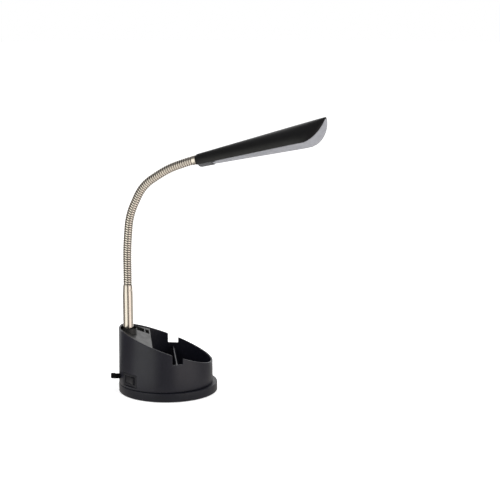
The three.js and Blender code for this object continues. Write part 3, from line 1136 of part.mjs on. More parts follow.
const COIL_TURNS = 2 * COIL_TURNS_PER_LAYER;
const COIL_STRAIGHT = 2 * CORD_RADIUS; // straight run at either end of the coil
const COIL_OUTER_RADIUS = COIL_INNER_RADIUS + CORD_PITCH * COIL_TURNS_PER_LAYER;
const CORD_START = BOOT_END.clone().addScaledVector(BOOT_WAY, GAP);
const CORD_END = new THREE.Vector3(...cordRoute.at(-1)).add(CORD_START);
const COIL_MIDDLE = new THREE.Vector3(CORD_END.x + GAP + COIL_STRAIGHT, CORD_END.y + COIL_OUTER_RADIUS,
  CORD_END.z);

// Place on the coil's axis after a number of turns: it winds in on the table, climbs one layer
// over the half turn in which the spiral reverses, and winds out again on top
function coilPlace(turn) {
  const radius = COIL_INNER_RADIUS + CORD_PITCH * Math.abs(turn - COIL_TURNS_PER_LAYER);
  const climb = Math.min(1, Math.max(0, 2 * (turn - COIL_TURNS_PER_LAYER) + 1 / 2));
  const rise = (CORD_PITCH * (1 - Math.cos(Math.PI * climb))) / 2;
  const angle = 2 * Math.PI * turn - Math.PI / 2;
  return new THREE.Vector3(radius * Math.cos(angle), radius * Math.sin(angle), rise).add(COIL_MIDDLE);
}

// Axis of the coil as points, with a straight run before and after
function coilAxis() {
  const steps = Math.round(COIL_TURNS * COIL_STEPS);
  const points = Array.from({ length: steps + 1 }, (_, i) => coilPlace(i / COIL_STEPS));
  const before = points[0].clone().add(new THREE.Vector3(-COIL_STRAIGHT, 0, 0));
  const after = points.at(-1).clone().add(new THREE.Vector3(-COIL_STRAIGHT, 0, 0));
  return [before, ...points, after];
}

// Least gap between the coil's turns, measured between points at least half a turn apart
function coilClearance(points) {
  let least = Infinity;
  for (let i = 0; i < points.length; i += 1) {
    for (let j = i + COIL_STEPS / 2; j < points.length; j += 1) {
      least = Math.min(least, points[i].distanceTo(points[j]));
    }
  }
  return least - 2 * CORD_RADIUS;
}

// Length of a line of points
const lengthOf = (points) => points.slice(1).reduce(
  (sum, point, i) => sum + point.distanceTo(points[i]), 0);

// Coil as one unbroken tube; its first and last rings are square to its straight ends
function makeCoil(points) {
  const up = new THREE.Vector3(0, 0, 1);
  const last = points.length - 1;
  const rings = points.map((point, i) => {
    const before = points[i === last ? last - 1 : Math.max(0, i - 1)];
    const after = points[Math.min(last, i + 1)];
    const direction = after.clone().sub(before).normalize();
    if (i === 0) direction.set(1, 0, 0);
    if (i === last) direction.set(-1, 0, 0);
    const side = new THREE.Vector3().crossVectors(direction, up).normalize();
    return ringAt(point, direction, side, CORD_RADIUS, COIL_SIDES);
  });
  return skin(rings);
}

// Two-pin plug with a tapered nose, drawn from the nose's tip along +X
function makePlug() {
  const group = new THREE.Group();
  const half = PLUG_WIDTH / 2;
  const face = PLUG_NOSE_LENGTH + PLUG_LENGTH;
  const corner = PLUG_CORNER;
  const outline = [
    [PLUG_NOSE_LENGTH, -half + corner], [PLUG_NOSE_LENGTH + corner, -half], [face, -half], [face, half],
    [PLUG_NOSE_LENGTH + corner, half], [PLUG_NOSE_LENGTH, half - corner],
  ];
  const along = new THREE.Vector3(1, 0, 0);
  const nose = solid(skin([
    ringAt(new THREE.Vector3(0, 0, 0), along, ACROSS, PLUG_NOSE_RADIUS, SMALL_SIDES),
    ringAt(new THREE.Vector3(PLUG_NOSE_LENGTH + corner / 2, 0, 0), along, ACROSS, PLUG_NOSE_END_RADIUS,
      SMALL_SIDES),
  ]));
  const slotHalf = BLADE_THICKNESS / 2 + GAP;
  const slots = [-1, 1].map((side) => block([face - BLADE_ROOT - GAP, face + OVERRUN],
    [(side * BLADE_SPACING) / 2 - slotHalf, (side * BLADE_SPACING) / 2 + slotHalf],
    [-BLADE_WIDTH / 2 - GAP, BLADE_WIDTH / 2 + GAP]));
  const body = cut(plate(outline, -PLUG_HEIGHT / 2, PLUG_HEIGHT / 2).add(nose), slots);
  group.add(piece('plug_body', body, 'rubber'));
  [-1, 1].forEach((side, i) => {
    group.add(piece(`plug_blade_${i + 1}`, block([face - BLADE_ROOT, face + BLADE_LENGTH],
      [(side * BLADE_SPACING - BLADE_THICKNESS) / 2, (side * BLADE_SPACING + BLADE_THICKNESS) / 2],
      [-BLADE_WIDTH / 2, BLADE_WIDTH / 2]), 'brass'));
  });
  return group;
}

// Boot, free stretch, coil, tail and plug
function makeCord() {
  const group = new THREE.Group();
  const stretch = (name, route, start, steps) => {
    const points = route.map(([x, y, z]) => new THREE.Vector3(x, y, z).add(start));
    const curve = new THREE.CatmullRomCurve3(points);
    group.add(piece(name, tubeAlong(curve, CORD_RADIUS, HOSE_SIDES, steps), 'rubber'));
    return curve;
  };
  group.add(piece('strain_relief', makeBoot(), 'rubber'));
  const axis = coilAxis();
  group.add(piece('cord_coil', makeCoil(axis), 'rubber'));
  const tailStart = axis.at(-1).clone().add(new THREE.Vector3(-GAP, 0, 0));
  const free = stretch('cord', cordRoute, CORD_START, CORD_STEPS);
  const tail = stretch('cord_tail', tailRoute, tailStart, LEAD_STEPS);
  const length = free.getLength() + tail.getLength() + lengthOf(axis);
  console.log(`cord: ${length.toFixed(0)} mm from the boot to the plug; `
    + `least gap between the coil's turns: ${coilClearance(axis).toFixed(2)} mm`);

  const plug = makePlug();
  plug.position.set(...tailRoute.at(-1)).add(tailStart).add(new THREE.Vector3(0, -GAP, 0));
  plug.position.z = PLUG_HEIGHT / 2;
  plug.rotation.z = -Math.PI / 2;
  group.add(plug);
  return group;
}

// Leads inside the base: from the boot to the driver board, and from the board up the post
function makeLeads() {
  const group = new THREE.Group();
  const boardNear = DRIVER_Y - DRIVER_LENGTH / 2;
  const boardLevel = CUP_INSIDE + DRIVER_LIFT + GAP + DRIVER_THICKNESS / 2;
  const bend = 3 * SUPPLY_LEAD_RADIUS;
  const supply = new THREE.CatmullRomCurve3([
    new THREE.Vector3(BOOT_INSIDE + GAP, BOOT_ROOT_Y, CORD_EXIT_HEIGHT),
    new THREE.Vector3(BOOT_INSIDE + GAP + bend, BOOT_ROOT_Y, CORD_EXIT_HEIGHT),
    new THREE.Vector3(DRIVER_X - bend / 2, BOOT_ROOT_Y + bend / 4, boardLevel),
    new THREE.Vector3(DRIVER_X, boardNear - GAP - bend / 2, boardLevel),
    new THREE.Vector3(DRIVER_X, boardNear - GAP, boardLevel),
  ], false, 'centripetal');
  group.add(piece('supply_lead', tubeAlong(supply, SUPPLY_LEAD_RADIUS, HOSE_SIDES, LEAD_STEPS), 'wire'));

  const postX = -CUP_OFFSET - POST_OFFSET;
  const leadX = DRIVER_X - DRIVER_WIDTH / 2 + WIRE_RADIUS + GAP;
  const leadY = DRIVER_Y - TRANSFORMER_SIZE[1] / 2 - WIRE_RADIUS - GAP;
  const foot = boardLevel + DRIVER_THICKNESS / 2 + GAP;
  const nippleLow = BOSS_BOTTOM - NIPPLE_TAIL;
  const rise = new THREE.CatmullRomCurve3([
    new THREE.Vector3(leadX, leadY, foot), new THREE.Vector3(leadX, leadY, foot + 2 * WIRE_RADIUS),
    new THREE.Vector3(postX, 0, nippleLow - 2 * WIRE_RADIUS), new THREE.Vector3(postX, 0, nippleLow),
    new THREE.Vector3(postX, 0, RIM_FLAT_HEIGHT), new THREE.Vector3(postX, 0, POST_TOP),
  ], false, 'centripetal');
  group.add(piece('post_lead', tubeAlong(rise, WIRE_RADIUS, HOSE_SIDES, POST_LEAD_STEPS), 'wire'));
  return group;
}

const lamp = new THREE.Group();
lamp.add(makeBase(), makeHolder(), makePost(), makeSwitch(), makeDriver(), makeLeads(), makeCord());
const neck = makeNeck();
neck.position.set(-CUP_OFFSET - POST_OFFSET, 0, 0);
neck.rotation.z = radians(NECK_YAW_DEGREES);
lamp.add(neck);

export default lamp;
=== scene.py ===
"""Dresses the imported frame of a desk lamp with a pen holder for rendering.

Everything is in metres, in the frame's own axes: the origin is on the table under the middle of the
round base, +Z is up, +X points to the low side of the pen cup and +Y away from the lamp's front.
Each sub-assembly is a class that holds its sizes, builds its surfaces as arrays of points and
dresses them in a finish.
"""

from __future__ import annotations

import logging
from dataclasses import dataclass
from enum import Enum
from math import acos, cos, pi, radians, sin, sqrt, tan

import bmesh
import bpy
import numpy as np
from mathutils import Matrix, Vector
from numpy.linalg import norm

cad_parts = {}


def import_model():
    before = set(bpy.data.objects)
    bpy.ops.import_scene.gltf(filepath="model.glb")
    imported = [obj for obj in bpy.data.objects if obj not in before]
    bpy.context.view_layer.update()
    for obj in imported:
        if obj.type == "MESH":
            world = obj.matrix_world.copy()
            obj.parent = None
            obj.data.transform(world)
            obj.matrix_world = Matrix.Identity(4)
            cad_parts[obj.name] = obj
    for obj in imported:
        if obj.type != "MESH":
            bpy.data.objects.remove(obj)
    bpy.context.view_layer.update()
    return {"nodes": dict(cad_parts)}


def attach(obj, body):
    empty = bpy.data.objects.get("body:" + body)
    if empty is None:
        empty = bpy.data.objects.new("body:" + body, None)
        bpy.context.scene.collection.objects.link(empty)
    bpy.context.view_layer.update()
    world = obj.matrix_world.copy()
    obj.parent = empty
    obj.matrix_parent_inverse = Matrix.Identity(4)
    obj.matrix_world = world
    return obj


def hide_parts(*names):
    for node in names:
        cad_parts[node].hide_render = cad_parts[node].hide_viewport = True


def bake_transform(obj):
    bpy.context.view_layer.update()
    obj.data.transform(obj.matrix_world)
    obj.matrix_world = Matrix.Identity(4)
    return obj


log = logging.getLogger("desk_lamp")

Array = np.ndarray
Shell = tuple[Array, Array]
Pair = tuple[float, float]
Triple = tuple[float, float, float]
Piece = bpy.types.Object
Mesh = bpy.types.Mesh
Node = bpy.types.Node
Socket = bpy.types.NodeSocket

TURN = 2 * pi
# How sharp each point's edge is; the finishes lighten edges by it, for wear and a painted highlight
EDGE_ATTRIBUTE = "edge"
# Share of painted shade, with some grime, in the hose's grooves, per point
GROOVE_SHADE_ATTRIBUTE = "groove"
WHITE = (1.0, 1.0, 1.0, 1.0)
WELD = 2e-7  # Distance within which points coincide
EDGE_REACH = 0.0008  # Radius at which an edge counts as sharp
SHEET_STEPS = 0.0006 * np.array([0, 0.1, 0.3, 0.6, 1])  # Places of the rows at a sheet's rounded start


class Body(str, Enum):
    """Bodies of the frame that pieces ride on, in order from the base up the neck."""

    BASE = "lamp_base"
    NECK_1 = "neck_1"
    NECK_2 = "neck_2"
    NECK_3 = "neck_3"
    NECK_4 = "neck_4"
    HEAD = "lamp_head"
    ROCKER = "rocker"


class Axis(Enum):
    """Directions of a turned piece's axis: which of (across, beside, along) makes x, y and z."""

    UP = (0, 1, 2)
    ALONG = (2, 0, 1)


@dataclass(frozen=True)
class Plan:
    """Sizes that more than one piece of the lamp follows, as in the frame."""

    cup_axis: float = -0.0026  # Place of the cup's axis along X
    cup_radius: float = 0.057  # Outer radius of the cup at its foot
    cup_wall: float = 0.0022  # Thickness of the cup's wall
    cup_draft: float = tan(radians(0.4))  # Tangent of the wall's draft
    cup_foot: float = 0.0113  # Level of the cup's underside
    cup_floor: float = 0.0135  # Level of the cup's floor inside
    rim_height: float = 0.0587  # Level of the slanted rim over the cup's axis
    rim_slope: float = tan(radians(20.6))  # Fall of the rim per length along X
    rim_flat: float = 0.0788  # Level of the flat part of the rim, round the post
    post_offset: float = 0.045  # Distance from the cup's axis to the post's
    switch_angle: float = 216.6  # Direction of the switch from the cup's axis, degrees
    switch_level: float = 0.0219  # Level of the switch's middle
    cord_place: Pair = (-0.009898, 0.0212)  # Place along Y and level where the cord passes the wall
    cord_droop: float = 12.0  # Fall of the cord below level there, degrees
    gap: float = 0.0003  # Clearance between pieces that seat on each other

    def rim_at(self, x: Array) -> Array:
        """Returns the slanted rim's level at distances x from the cup's axis."""
        return self.rim_height - self.rim_slope * x

    def wall_radius(self, level: Array, depth: Array) -> Array:
        """Returns the cup wall's radius at a level and a depth into it: radius - depth - draft * rise."""
        return self.cup_radius - depth - self.cup_draft * (level - self.cup_foot)

    def at_switch(self, shell: Shell) -> Shell:
        """Moves a shell that was drawn facing +X from the cup's axis to the switch's place."""
        return moved(shell, radians(self.switch_angle), (self.cup_axis, 0.0, self.switch_level))


PLAN = Plan()


# Surfaces as arrays


def ramp(value: Array, low: float, high: float) -> Array:
    """Smooth step of a value from 0 at low to 1 at high: share squared times (3 - 2 share)."""
    share = np.clip((value - low) / (high - low), 0.0, 1.0)
    return share**2 * (3 - 2 * share)


def quads_of(rows: int, columns: int, closed: bool) -> Array:
    """Numbers the quads of a grid of points that are stored row by row.

    Args:
        rows: Number of rows.
        columns: Number of points in a row.
        closed: Whether the last point of a row joins its first.

    Returns:
        Array of shape (quads, 4).
    """
    row = np.arange(rows - 1)[:, None] * columns
    column = np.arange(columns if closed else columns - 1)[None, :]
    right = (column + 1) % columns
    below = row + columns
    return joined(row + column, row + right, below + right, below + column).reshape(-1, 4)


def skin(points: Array, closed: bool = True) -> Shell:
    """Makes a shell of a grid of points with shape (rows, columns, 3)."""
    rows, columns, _ = points.shape
    return points.reshape(-1, 3), quads_of(rows, columns, closed)


def circle(sides: int) -> Array:
    """Returns evenly spaced angles round a circle."""
    return np.arange(sides) * TURN / sides


def joined(*parts: Array) -> Array:
    """Joins arrays of coordinates to an array of points."""
    return np.stack(parts, axis=-1)


def quarter(count: int) -> Array:
    """Returns angles from 0 to a right angle."""
    return np.linspace(0.0, pi / 2, count)


def polar(radius: Array, angle: Array, level: Array) -> Array:
    """Returns points (radius cos, radius sin, level); the three spread to one shape."""
    return joined(*np.broadcast_arrays(radius * np.cos(angle), radius * np.sin(angle), level))


def rod(radius: float, low: float, high: float) -> Array:
    """Returns the outline of a plain rod, to be turned."""
    return np.array([(0, low), (radius, low), (radius, high), (0, high)])


def fall_off(share: Array) -> Array:
    """Fall of a rounded end over its length: 1 - sqrt(1 - share^2), with the share held to 0 to 1."""
    return 1 - np.sqrt(1 - np.clip(share, 0.0, 1.0) ** 2)


def turned(profile: Array, sides: int, centre: Triple = (0.0, 0.0, 0.0), axis: Axis = Axis.UP) -> Shell:
    """Turns a profile of (radius, level) points round an axis, to (radius cos, radius sin, level).

    Args:
        profile: Points of shape (n, 2), from one end of the piece's outline to the other.
        sides: Points round the axis.
        centre: Place of the axis' zero level.
        axis: Direction of the axis.

    Returns:
        The turned shell, closed where the profile ends at radius zero or where it started.
    """
    grid = polar(profile[:, :1], circle(sides), profile[:, 1:])
    return skin(grid[..., list(axis.value)] + centre)


def bend(corner: Array, before: Array, after: Array, radius: float, steps: int) -> Array:
    """Rounds a corner as the curve (1-t)^2 a + 2t(1-t) corner + t^2 b, with a and b one radius from it.

    Args:
        corner: Corner that is rounded.
        before: Point before it.
        after: Point after it.
        radius: Length rounded on each side, at most half of it.
        steps: Steps round the corner.

    Returns:
        Points from one side to the other.
    """
    ends = []
    for other in (before, after):
        way = other - corner
        length = float(norm(way))
        ends.append(corner + way / max(length, 1e-12) * min(radius, length / 2))
    share = np.linspace(0.0, 1.0, steps + 1)[:, None]
    return (1 - share) ** 2 * ends[0] + 2 * share * (1 - share) * corner + share**2 * ends[1]


def rounded(points: list[Pair] | Array, radii: list[float], steps: int = 4, closed: bool = False) -> Array:
    """Rounds the corners of an outline.

    Args:
        points: Corners of the outline.
        radii: Radius at each corner; zero leaves it sharp.
        steps: Steps round each corner.
        closed: Whether the outline returns to its first corner.

    Returns:
        Points of shape (n, 2).
    """
    corners = np.array(points, dtype=float)
    count = len(corners)
    parts = []
    for i, radius in enumerate(radii):
        is_end = not closed and i in (0, count - 1)
        if radius <= 0 or is_end:
            parts.append(corners[i : i + 1])
        else:
            parts.append(bend(corners[i], corners[i - 1], corners[(i + 1) % count], radius, steps))
    return np.concatenate(parts)


def densified(points: Array, step: float) -> Array:
    """Adds points along a line of points so that none lie further apart than a step.

    Args:
        points: Points of the line.
        step: Longest distance.

    Returns:
        The denser line.
    """
    length = norm(np.diff(points, axis=0), axis=1)
    counts = np.maximum(1, np.ceil(length / step).astype(int))
    index = np.repeat(np.arange(len(length)), counts)
    first = np.repeat(np.cumsum(counts) - counts, counts)
    share = (np.arange(counts.sum()) - first) / counts[index]
    inner = points[index] + share[:, None] * (points[index + 1] - points[index])
    return np.concatenate([inner, points[-1:]])


def capped(grid: Array, middles: Array | None = None) -> Shell:
    """Closes a grid of rings at both ends.

    Args:
        grid: Rings, of shape (rings, points, 3).
        middles: Middles of the two ends; None takes the end rings' means.

    Returns:
        The closed shell.
    """
    if middles is None:
        middles = np.stack([grid[i].mean(axis=0) for i in (0, -1)])
    ends = np.broadcast_to(middles[:, None], (2, *grid.shape[1:]))
    return skin(np.concatenate([ends[:1], grid, ends[1:]]))


def stacked(outline: Array, rings: Array, level: Array) -> Shell:
    """Stacks flat rings at their levels, closed below and above at the outline's middle.

    Args:
        outline: Outline in X and Y.
        rings: Rings in X and Y, of shape (rings, points, 2).
        level: Level of each ring.

    Returns:
        The closed shell.
    """
    depth = np.broadcast_to(level[:, None, None], rings.shape[:2] + (1,))
    middle = outline.mean(axis=0)
    middles = np.array([(*middle, level[0]), (*middle, level[-1])])
    return capped(np.concatenate([rings, depth], axis=-1), middles)


def padded_slab(outline: Array, low: float, high: float, edge: float, steps: int = 3) -> Shell:
    """Makes a slab with rounded rims: the lower rings draw in by edge (1 - sin) at low + edge (1 - cos).

    Args:
        outline: Points of a convex outline in X and Y, counter-clockwise, of shape (n, 2).
        low: Lower level.
        high: Upper level.
        edge: Radius of the rims.
        steps: Steps round each rim.

    Returns:
        A closed shell.
    """
    tangent = np.roll(outline, -1, axis=0) - np.roll(outline, 1, axis=0)
    tangent /= np.maximum(norm(tangent, axis=1, keepdims=True), 1e-12)
    inward = joined(-tangent[:, 1], tangent[:, 0])
    angle = quarter(steps + 1)
    inset = np.concatenate([edge * (1 - np.sin(angle)), edge * (1 - np.cos(angle))])
    level = np.concatenate([low + edge * (1 - np.cos(angle)), high - edge * (1 - np.sin(angle))])
    return stacked(outline, outline[None] + inset[:, None, None] * inward[None], level)


def prism(outline: Array, low: float, high: float) -> Shell:
    """Makes a sharp prism from a convex outline in X and Y, between two levels."""
    return stacked(outline, np.stack([outline, outline]), np.array([low, high]))


def upright_prism(outline: list[Pair], y: Pair) -> Shell:
    """Makes a sharp prism from a convex outline in X and Z, along Y."""
    points, quads = prism(np.array(outline), *y)
    return points[:, [0, 2, 1]], quads


def facing(shell: Shell) -> Shell:
    """Turns a shell drawn across X and Y, with its depth along Z, to face +X."""
    return shell[0][:, [2, 0, 1]], shell[1]


def rectangle(x: Pair, y: Pair) -> Array:
    """Returns a rectangle's corners, counter-clockwise."""
    return np.array([(x[0], y[0]), (x[1], y[0]), (x[1], y[1]), (x[0], y[1])])


def box_outline(x: Pair, y: Pair, radius: float, steps: int = 4) -> Array:
    """Returns a rectangle's outline with rounded corners, counter-clockwise."""
    return rounded(rectangle(x, y), [radius] * 4, steps, closed=True)


def tube(path: Array, forward: Array, side: Array, radius: Array, sides: int) -> Shell:
    """Carries a circle along a path: each point is place + radius (cos side + sin up), up = forward x side.

    Args:
        path: Places of shape (n, 3).
        forward: Directions of the path, of shape (n, 3).
        side: Directions square to the path, of shape (n, 3).
        radius: Radius at each point, of shape (n, 1) or (n, sides).
        sides: Points round the path.

    Returns:
        The closed tube.
    """
    up = np.cross(forward, side)
    angle = circle(sides)[None, :, None]
    reach = np.broadcast_to(radius, (len(path), sides))[..., None]
    ring = side[:, None] * np.cos(angle) + up[:, None] * np.sin(angle)
    return capped(path[:, None] + reach * ring, path[[0, -1]])


def swept(path: Array, side: Array, radius: Array, sides: int) -> Shell:
    """Makes a tube along a path whose direction is its own slope, with the sides turned square to it.

    Args:
        path: Places of shape (n, 3).
        side: Rough directions to the side, of shape (n, 3).
        radius: Radius, of shape (n, 1) or (n, sides).
        sides: Points round the path.

    Returns:
        The closed tube.
    """
    tangent = np.gradient(path, axis=0)
    tangent /= norm(tangent, axis=1, keepdims=True)
    side = side - (side * tangent).sum(axis=1, keepdims=True) * tangent
    side /= norm(side, axis=1, keepdims=True)
    return tube(path, tangent, side, radius, sides)


def run_along(points: Array) -> Array:
    """Returns each point's distance along a line of points."""
    return np.concatenate([[0.0], np.cumsum(norm(np.diff(points, axis=0), axis=1))])


def turned_about(points: Array, angle: float, centre: Triple) -> Array:
    """Turns points about the upright axis by an angle, then moves them to a centre.

    Args:
        points: Points of shape (..., 3).
        angle: Turn in radians.
        centre: Place that the origin moves to.

    Returns:
        The moved points.
    """
    cosine, sine = cos(angle), sin(angle)
    x = points[..., 0] * cosine - points[..., 1] * sine
    y = points[..., 0] * sine + points[..., 1] * cosine
    return joined(x, y, points[..., 2]) + centre


def moved(shell: Shell, angle: float, centre: Triple) -> Shell:
    """Turns a shell about the upright axis, then moves it."""
    return turned_about(shell[0], angle, centre), shell[1]


# Blender meshes


def rows_of(items: bpy.types.bpy_prop_collection, key: str) -> Array:
    """Reads one vector of every item.

    Args:
        items: Items of a mesh.
        key: Name of the vector.

    Returns:
        Array of shape (items, 3).
    """
    values = np.empty(len(items) * 3)
    items.foreach_get(key, values)
    return values.reshape(-1, 3)


def write_share(mesh: Mesh, name: str, share: Array) -> None:
    """Writes one number to every point of a mesh, held to 0 to 1."""
    layer = mesh.attributes.new(name, "FLOAT", "POINT")
    layer.data.foreach_set("value", np.clip(share, 0.0, 1.0).astype(np.float32))


def paint_edges(mesh: Mesh) -> None:
    """Writes how far each point stands out from its neighbours, from 0 on a flat face to 1 on an edge.

    It is twice the reach times the mean over a point's edges of (normal . (point - neighbour)) /
    distance^2.

    Args:
        mesh: Finished mesh.
    """
    place, normal = rows_of(mesh.vertices, "co"), rows_of(mesh.vertex_normals, "vector")
    pairs = np.empty(len(mesh.edges) * 2, dtype=np.int64)
    mesh.edges.foreach_get("vertices", pairs)
    near, far = pairs.reshape(-1, 2).T
    span = place[near] - place[far]
    square = np.maximum((span**2).sum(axis=1), 1e-14)
    total = np.zeros(len(place))
    np.add.at(total, near, (normal[near] * span).sum(axis=1) / square)
    np.add.at(total, far, -(normal[far] * span).sum(axis=1) / square)
    share = np.bincount(pairs, minlength=len(place))
    write_share(mesh, EDGE_ATTRIBUTE, 2 * EDGE_REACH * total / np.maximum(share, 1))


def clean(mesh: Mesh) -> None:
    """Joins points that coincide, drops faces without area and turns every face outwards.

    Args:
        mesh: Mesh that is changed.
    """
    work = bmesh.new()
    work.from_mesh(mesh)
    bmesh.ops.remove_doubles(work, verts=work.verts, dist=WELD)
    bmesh.ops.dissolve_degenerate(work, edges=work.edges, dist=WELD)
    bmesh.ops.recalc_face_normals(work, faces=work.faces)
    work.to_mesh(mesh)
    work.free()


def linked(name: str, data: bpy.types.ID) -> Piece:
    """Makes an object of a mesh, a camera or a lamp and links it to the scene."""
    thing = bpy.data.objects.new(name, data)
    bpy.context.scene.collection.objects.link(thing)
    return thing


def raw_object(name: str, *shells: Shell) -> Piece:
    """Makes an object of one or more closed shells, without a finish.

    Args:
        name: Name of the object.
        *shells: Closed shells.

    Returns:
        The object.
    """
    starts = np.cumsum([0] + [len(points) for points, _ in shells])
    points = np.concatenate([points for points, _ in shells])
    faces = np.concatenate([quads + start for (_, quads), start in zip(shells, starts)])
    mesh = bpy.data.meshes.new(name)
    mesh.from_pydata(points.tolist(), [], faces.tolist())
    clean(mesh)
    return linked(name, mesh)


class Cut(str, Enum):
    """What a tool does to the piece that it meets."""

    AWAY = "DIFFERENCE"
    ADD = "UNION"
    KEEP = "INTERSECT"


def carve(piece: Piece, tools: list[tuple[Cut, Piece]], bevel: float = 0.0) -> None:
    """Applies tools to a piece in order, then a small bevel on its sharp edges, and deletes the tools.

    Args:
        piece: Piece that is changed.
        tools: What each tool does, and the tool.
        bevel: Width of the bevel; zero leaves the edges.
    """
    for how, tool in tools:
        step = piece.modifiers.new(how.name, "BOOLEAN")
        step.operation = how.value
        step.solver = "EXACT"
        step.object = tool
    if bevel:
        trim = piece.modifiers.new("trim", "BEVEL")
        trim.width = bevel
        trim.segments = 2
        trim.limit_method = "ANGLE"
        trim.angle_limit = radians(35)
    ready = piece.evaluated_get(bpy.context.evaluated_depsgraph_get())
    mesh = bpy.data.meshes.new_from_object(ready)
    piece.modifiers.clear()
    piece.data = mesh
    for _, tool in tools:
        bpy.data.objects.remove(tool, do_unlink=True)


def finish_object(
    piece: Piece, finish: Finish, nodes: tuple[str, ...], body: Body | None = Body.BASE,
    sharp_degrees: float = 38.0,
) -> Piece:
    """Shades a piece, paints its edges, gives it its finish and ties it to its body.

    Args:
        piece: Piece whose mesh is final.
        finish: Finish to dress it in.
        nodes: Nodes that it stands for.
        body: Body that it rides on; None leaves it on no body.
        sharp_degrees: Angle past which an edge is shaded sharp.

    Returns:
        The piece.
    """
    mesh = piece.data
    mesh.polygons.foreach_set("use_smooth", np.ones(len(mesh.polygons), dtype=bool))
    mesh.set_sharp_from_angle(angle=radians(sharp_degrees))
    paint_edges(mesh)
    mesh.materials.clear()
    mesh.materials.append(finish.material())
    if body is not None:
        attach(piece, body.value)
    if nodes:
        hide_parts(*nodes)
    log.info("%s: %d faces", piece.name, len(mesh.polygons))
    return piece


def make(name: str, finish: Finish, nodes: tuple[str, ...], *shells: Shell) -> Piece:
    """Makes and finishes a piece of closed shells that rides on the base."""
    return finish_object(raw_object(name, *shells), finish, nodes)


# Finishes


class NodeBoard:
    """A material's or world's node tree, with short calls for the nodes used here."""

    def __init__(self, owner: bpy.types.Material | bpy.types.World) -> None:
        """Empties the owner's tree; the place that its patterns read is set later."""
        owner.use_nodes = True
        self.tree = owner.node_tree
        self.place: Socket | None = None
        self.tree.nodes.clear()

    def add(self, kind: str, **values: object) -> Node:
        """Adds a node; values that name an input set it, and the others set a property.

        Args:
            kind: Node type's identifier.
            **values: Inputs by their name with underscores for spaces, or properties.

        Returns:
            The node.
        """
        node = self.tree.nodes.new(kind)
        for key, value in values.items():
            if hasattr(node, key):
                setattr(node, key, value)
            else:
                node.inputs[key.replace("_", " ")].default_value = value
        return node

    def link(self, source: Socket, node: Node, name: str | int) -> Node:
        """Links a socket to a node's named or numbered input and returns the node."""
        self.tree.links.new(source, node.inputs[name])
        return node

    def put(self, value: object, node: Node, name: str | int) -> None:
        """Links a socket to a node's input, or sets the input to a value.

        Args:
            value: Socket or plain value.
            node: Node that takes it.
            name: Name or number of the input.
        """
        if isinstance(value, Socket):
            self.link(value, node, name)
        else:
            node.inputs[name].default_value = value

    def sum_of(self, first: Socket, second: Socket | float, how: str) -> Socket:
        """Combines two values.

        Args:
            first: First value.
            second: Second value.
            how: Operation of the Math node.

        Returns:
            The result's socket.
        """
        node = self.add("ShaderNodeMath", operation=how)
        self.put(first, node, 0)
        self.put(second, node, 1)
        return node.outputs[0]

    def spread(self, source: Socket, low: float, high: float) -> Socket:
        """Maps a noise value of 0.3 to 0.7 to a range and returns the socket."""
        return self.mapped(source, (0.3, 0.7, low, high), "LINEAR")

    def mapped(self, source: Socket, values: tuple[float, ...], how: str) -> Socket:
        """Maps a range to another.

        Args:
            source: Value.
            values: Ends of its range, then of the new one.
            how: Kind of interpolation.

        Returns:
            The result's socket.
        """
        node = self.add("ShaderNodeMapRange", interpolation_type=how)
        for index, value in enumerate((source, *values)):
            self.put(value, node, index)
        return node.outputs[0]

    def mix(self, share: Socket, first: Socket | Triple, second: Socket | Triple) -> Socket:
        """Mixes two colours, each a socket or three numbers.

        Args:
            share: Share of the second.
            first: First colour.
            second: Second colour.

        Returns:
            The colour's socket.
        """
        node = self.add("ShaderNodeMix", data_type="RGBA", clamp_factor=True)
        self.put(share, node, 0)
        for index, colour in ((6, first), (7, second)):
            self.put(colour if isinstance(colour, Socket) else (*colour, 1.0), node, index)
        return node.outputs[2]

    def either(self, share: Socket, first: Socket, second: Socket) -> Socket:
        """Mixes two shaders.

        Args:
            share: Share of the second.
            first: First shader.
            second: Second shader.

        Returns:
            The shader's socket.
        """
        node = self.add("ShaderNodeMixShader")
        for index, source in enumerate((share, first, second)):
            self.link(source, node, index)
        return node.outputs[0]

    def attribute(self, name: str) -> Socket:
        """Returns the socket of a number that a piece's points carry."""
        return self.add("ShaderNodeAttribute", attribute_name=name).outputs["Fac"]


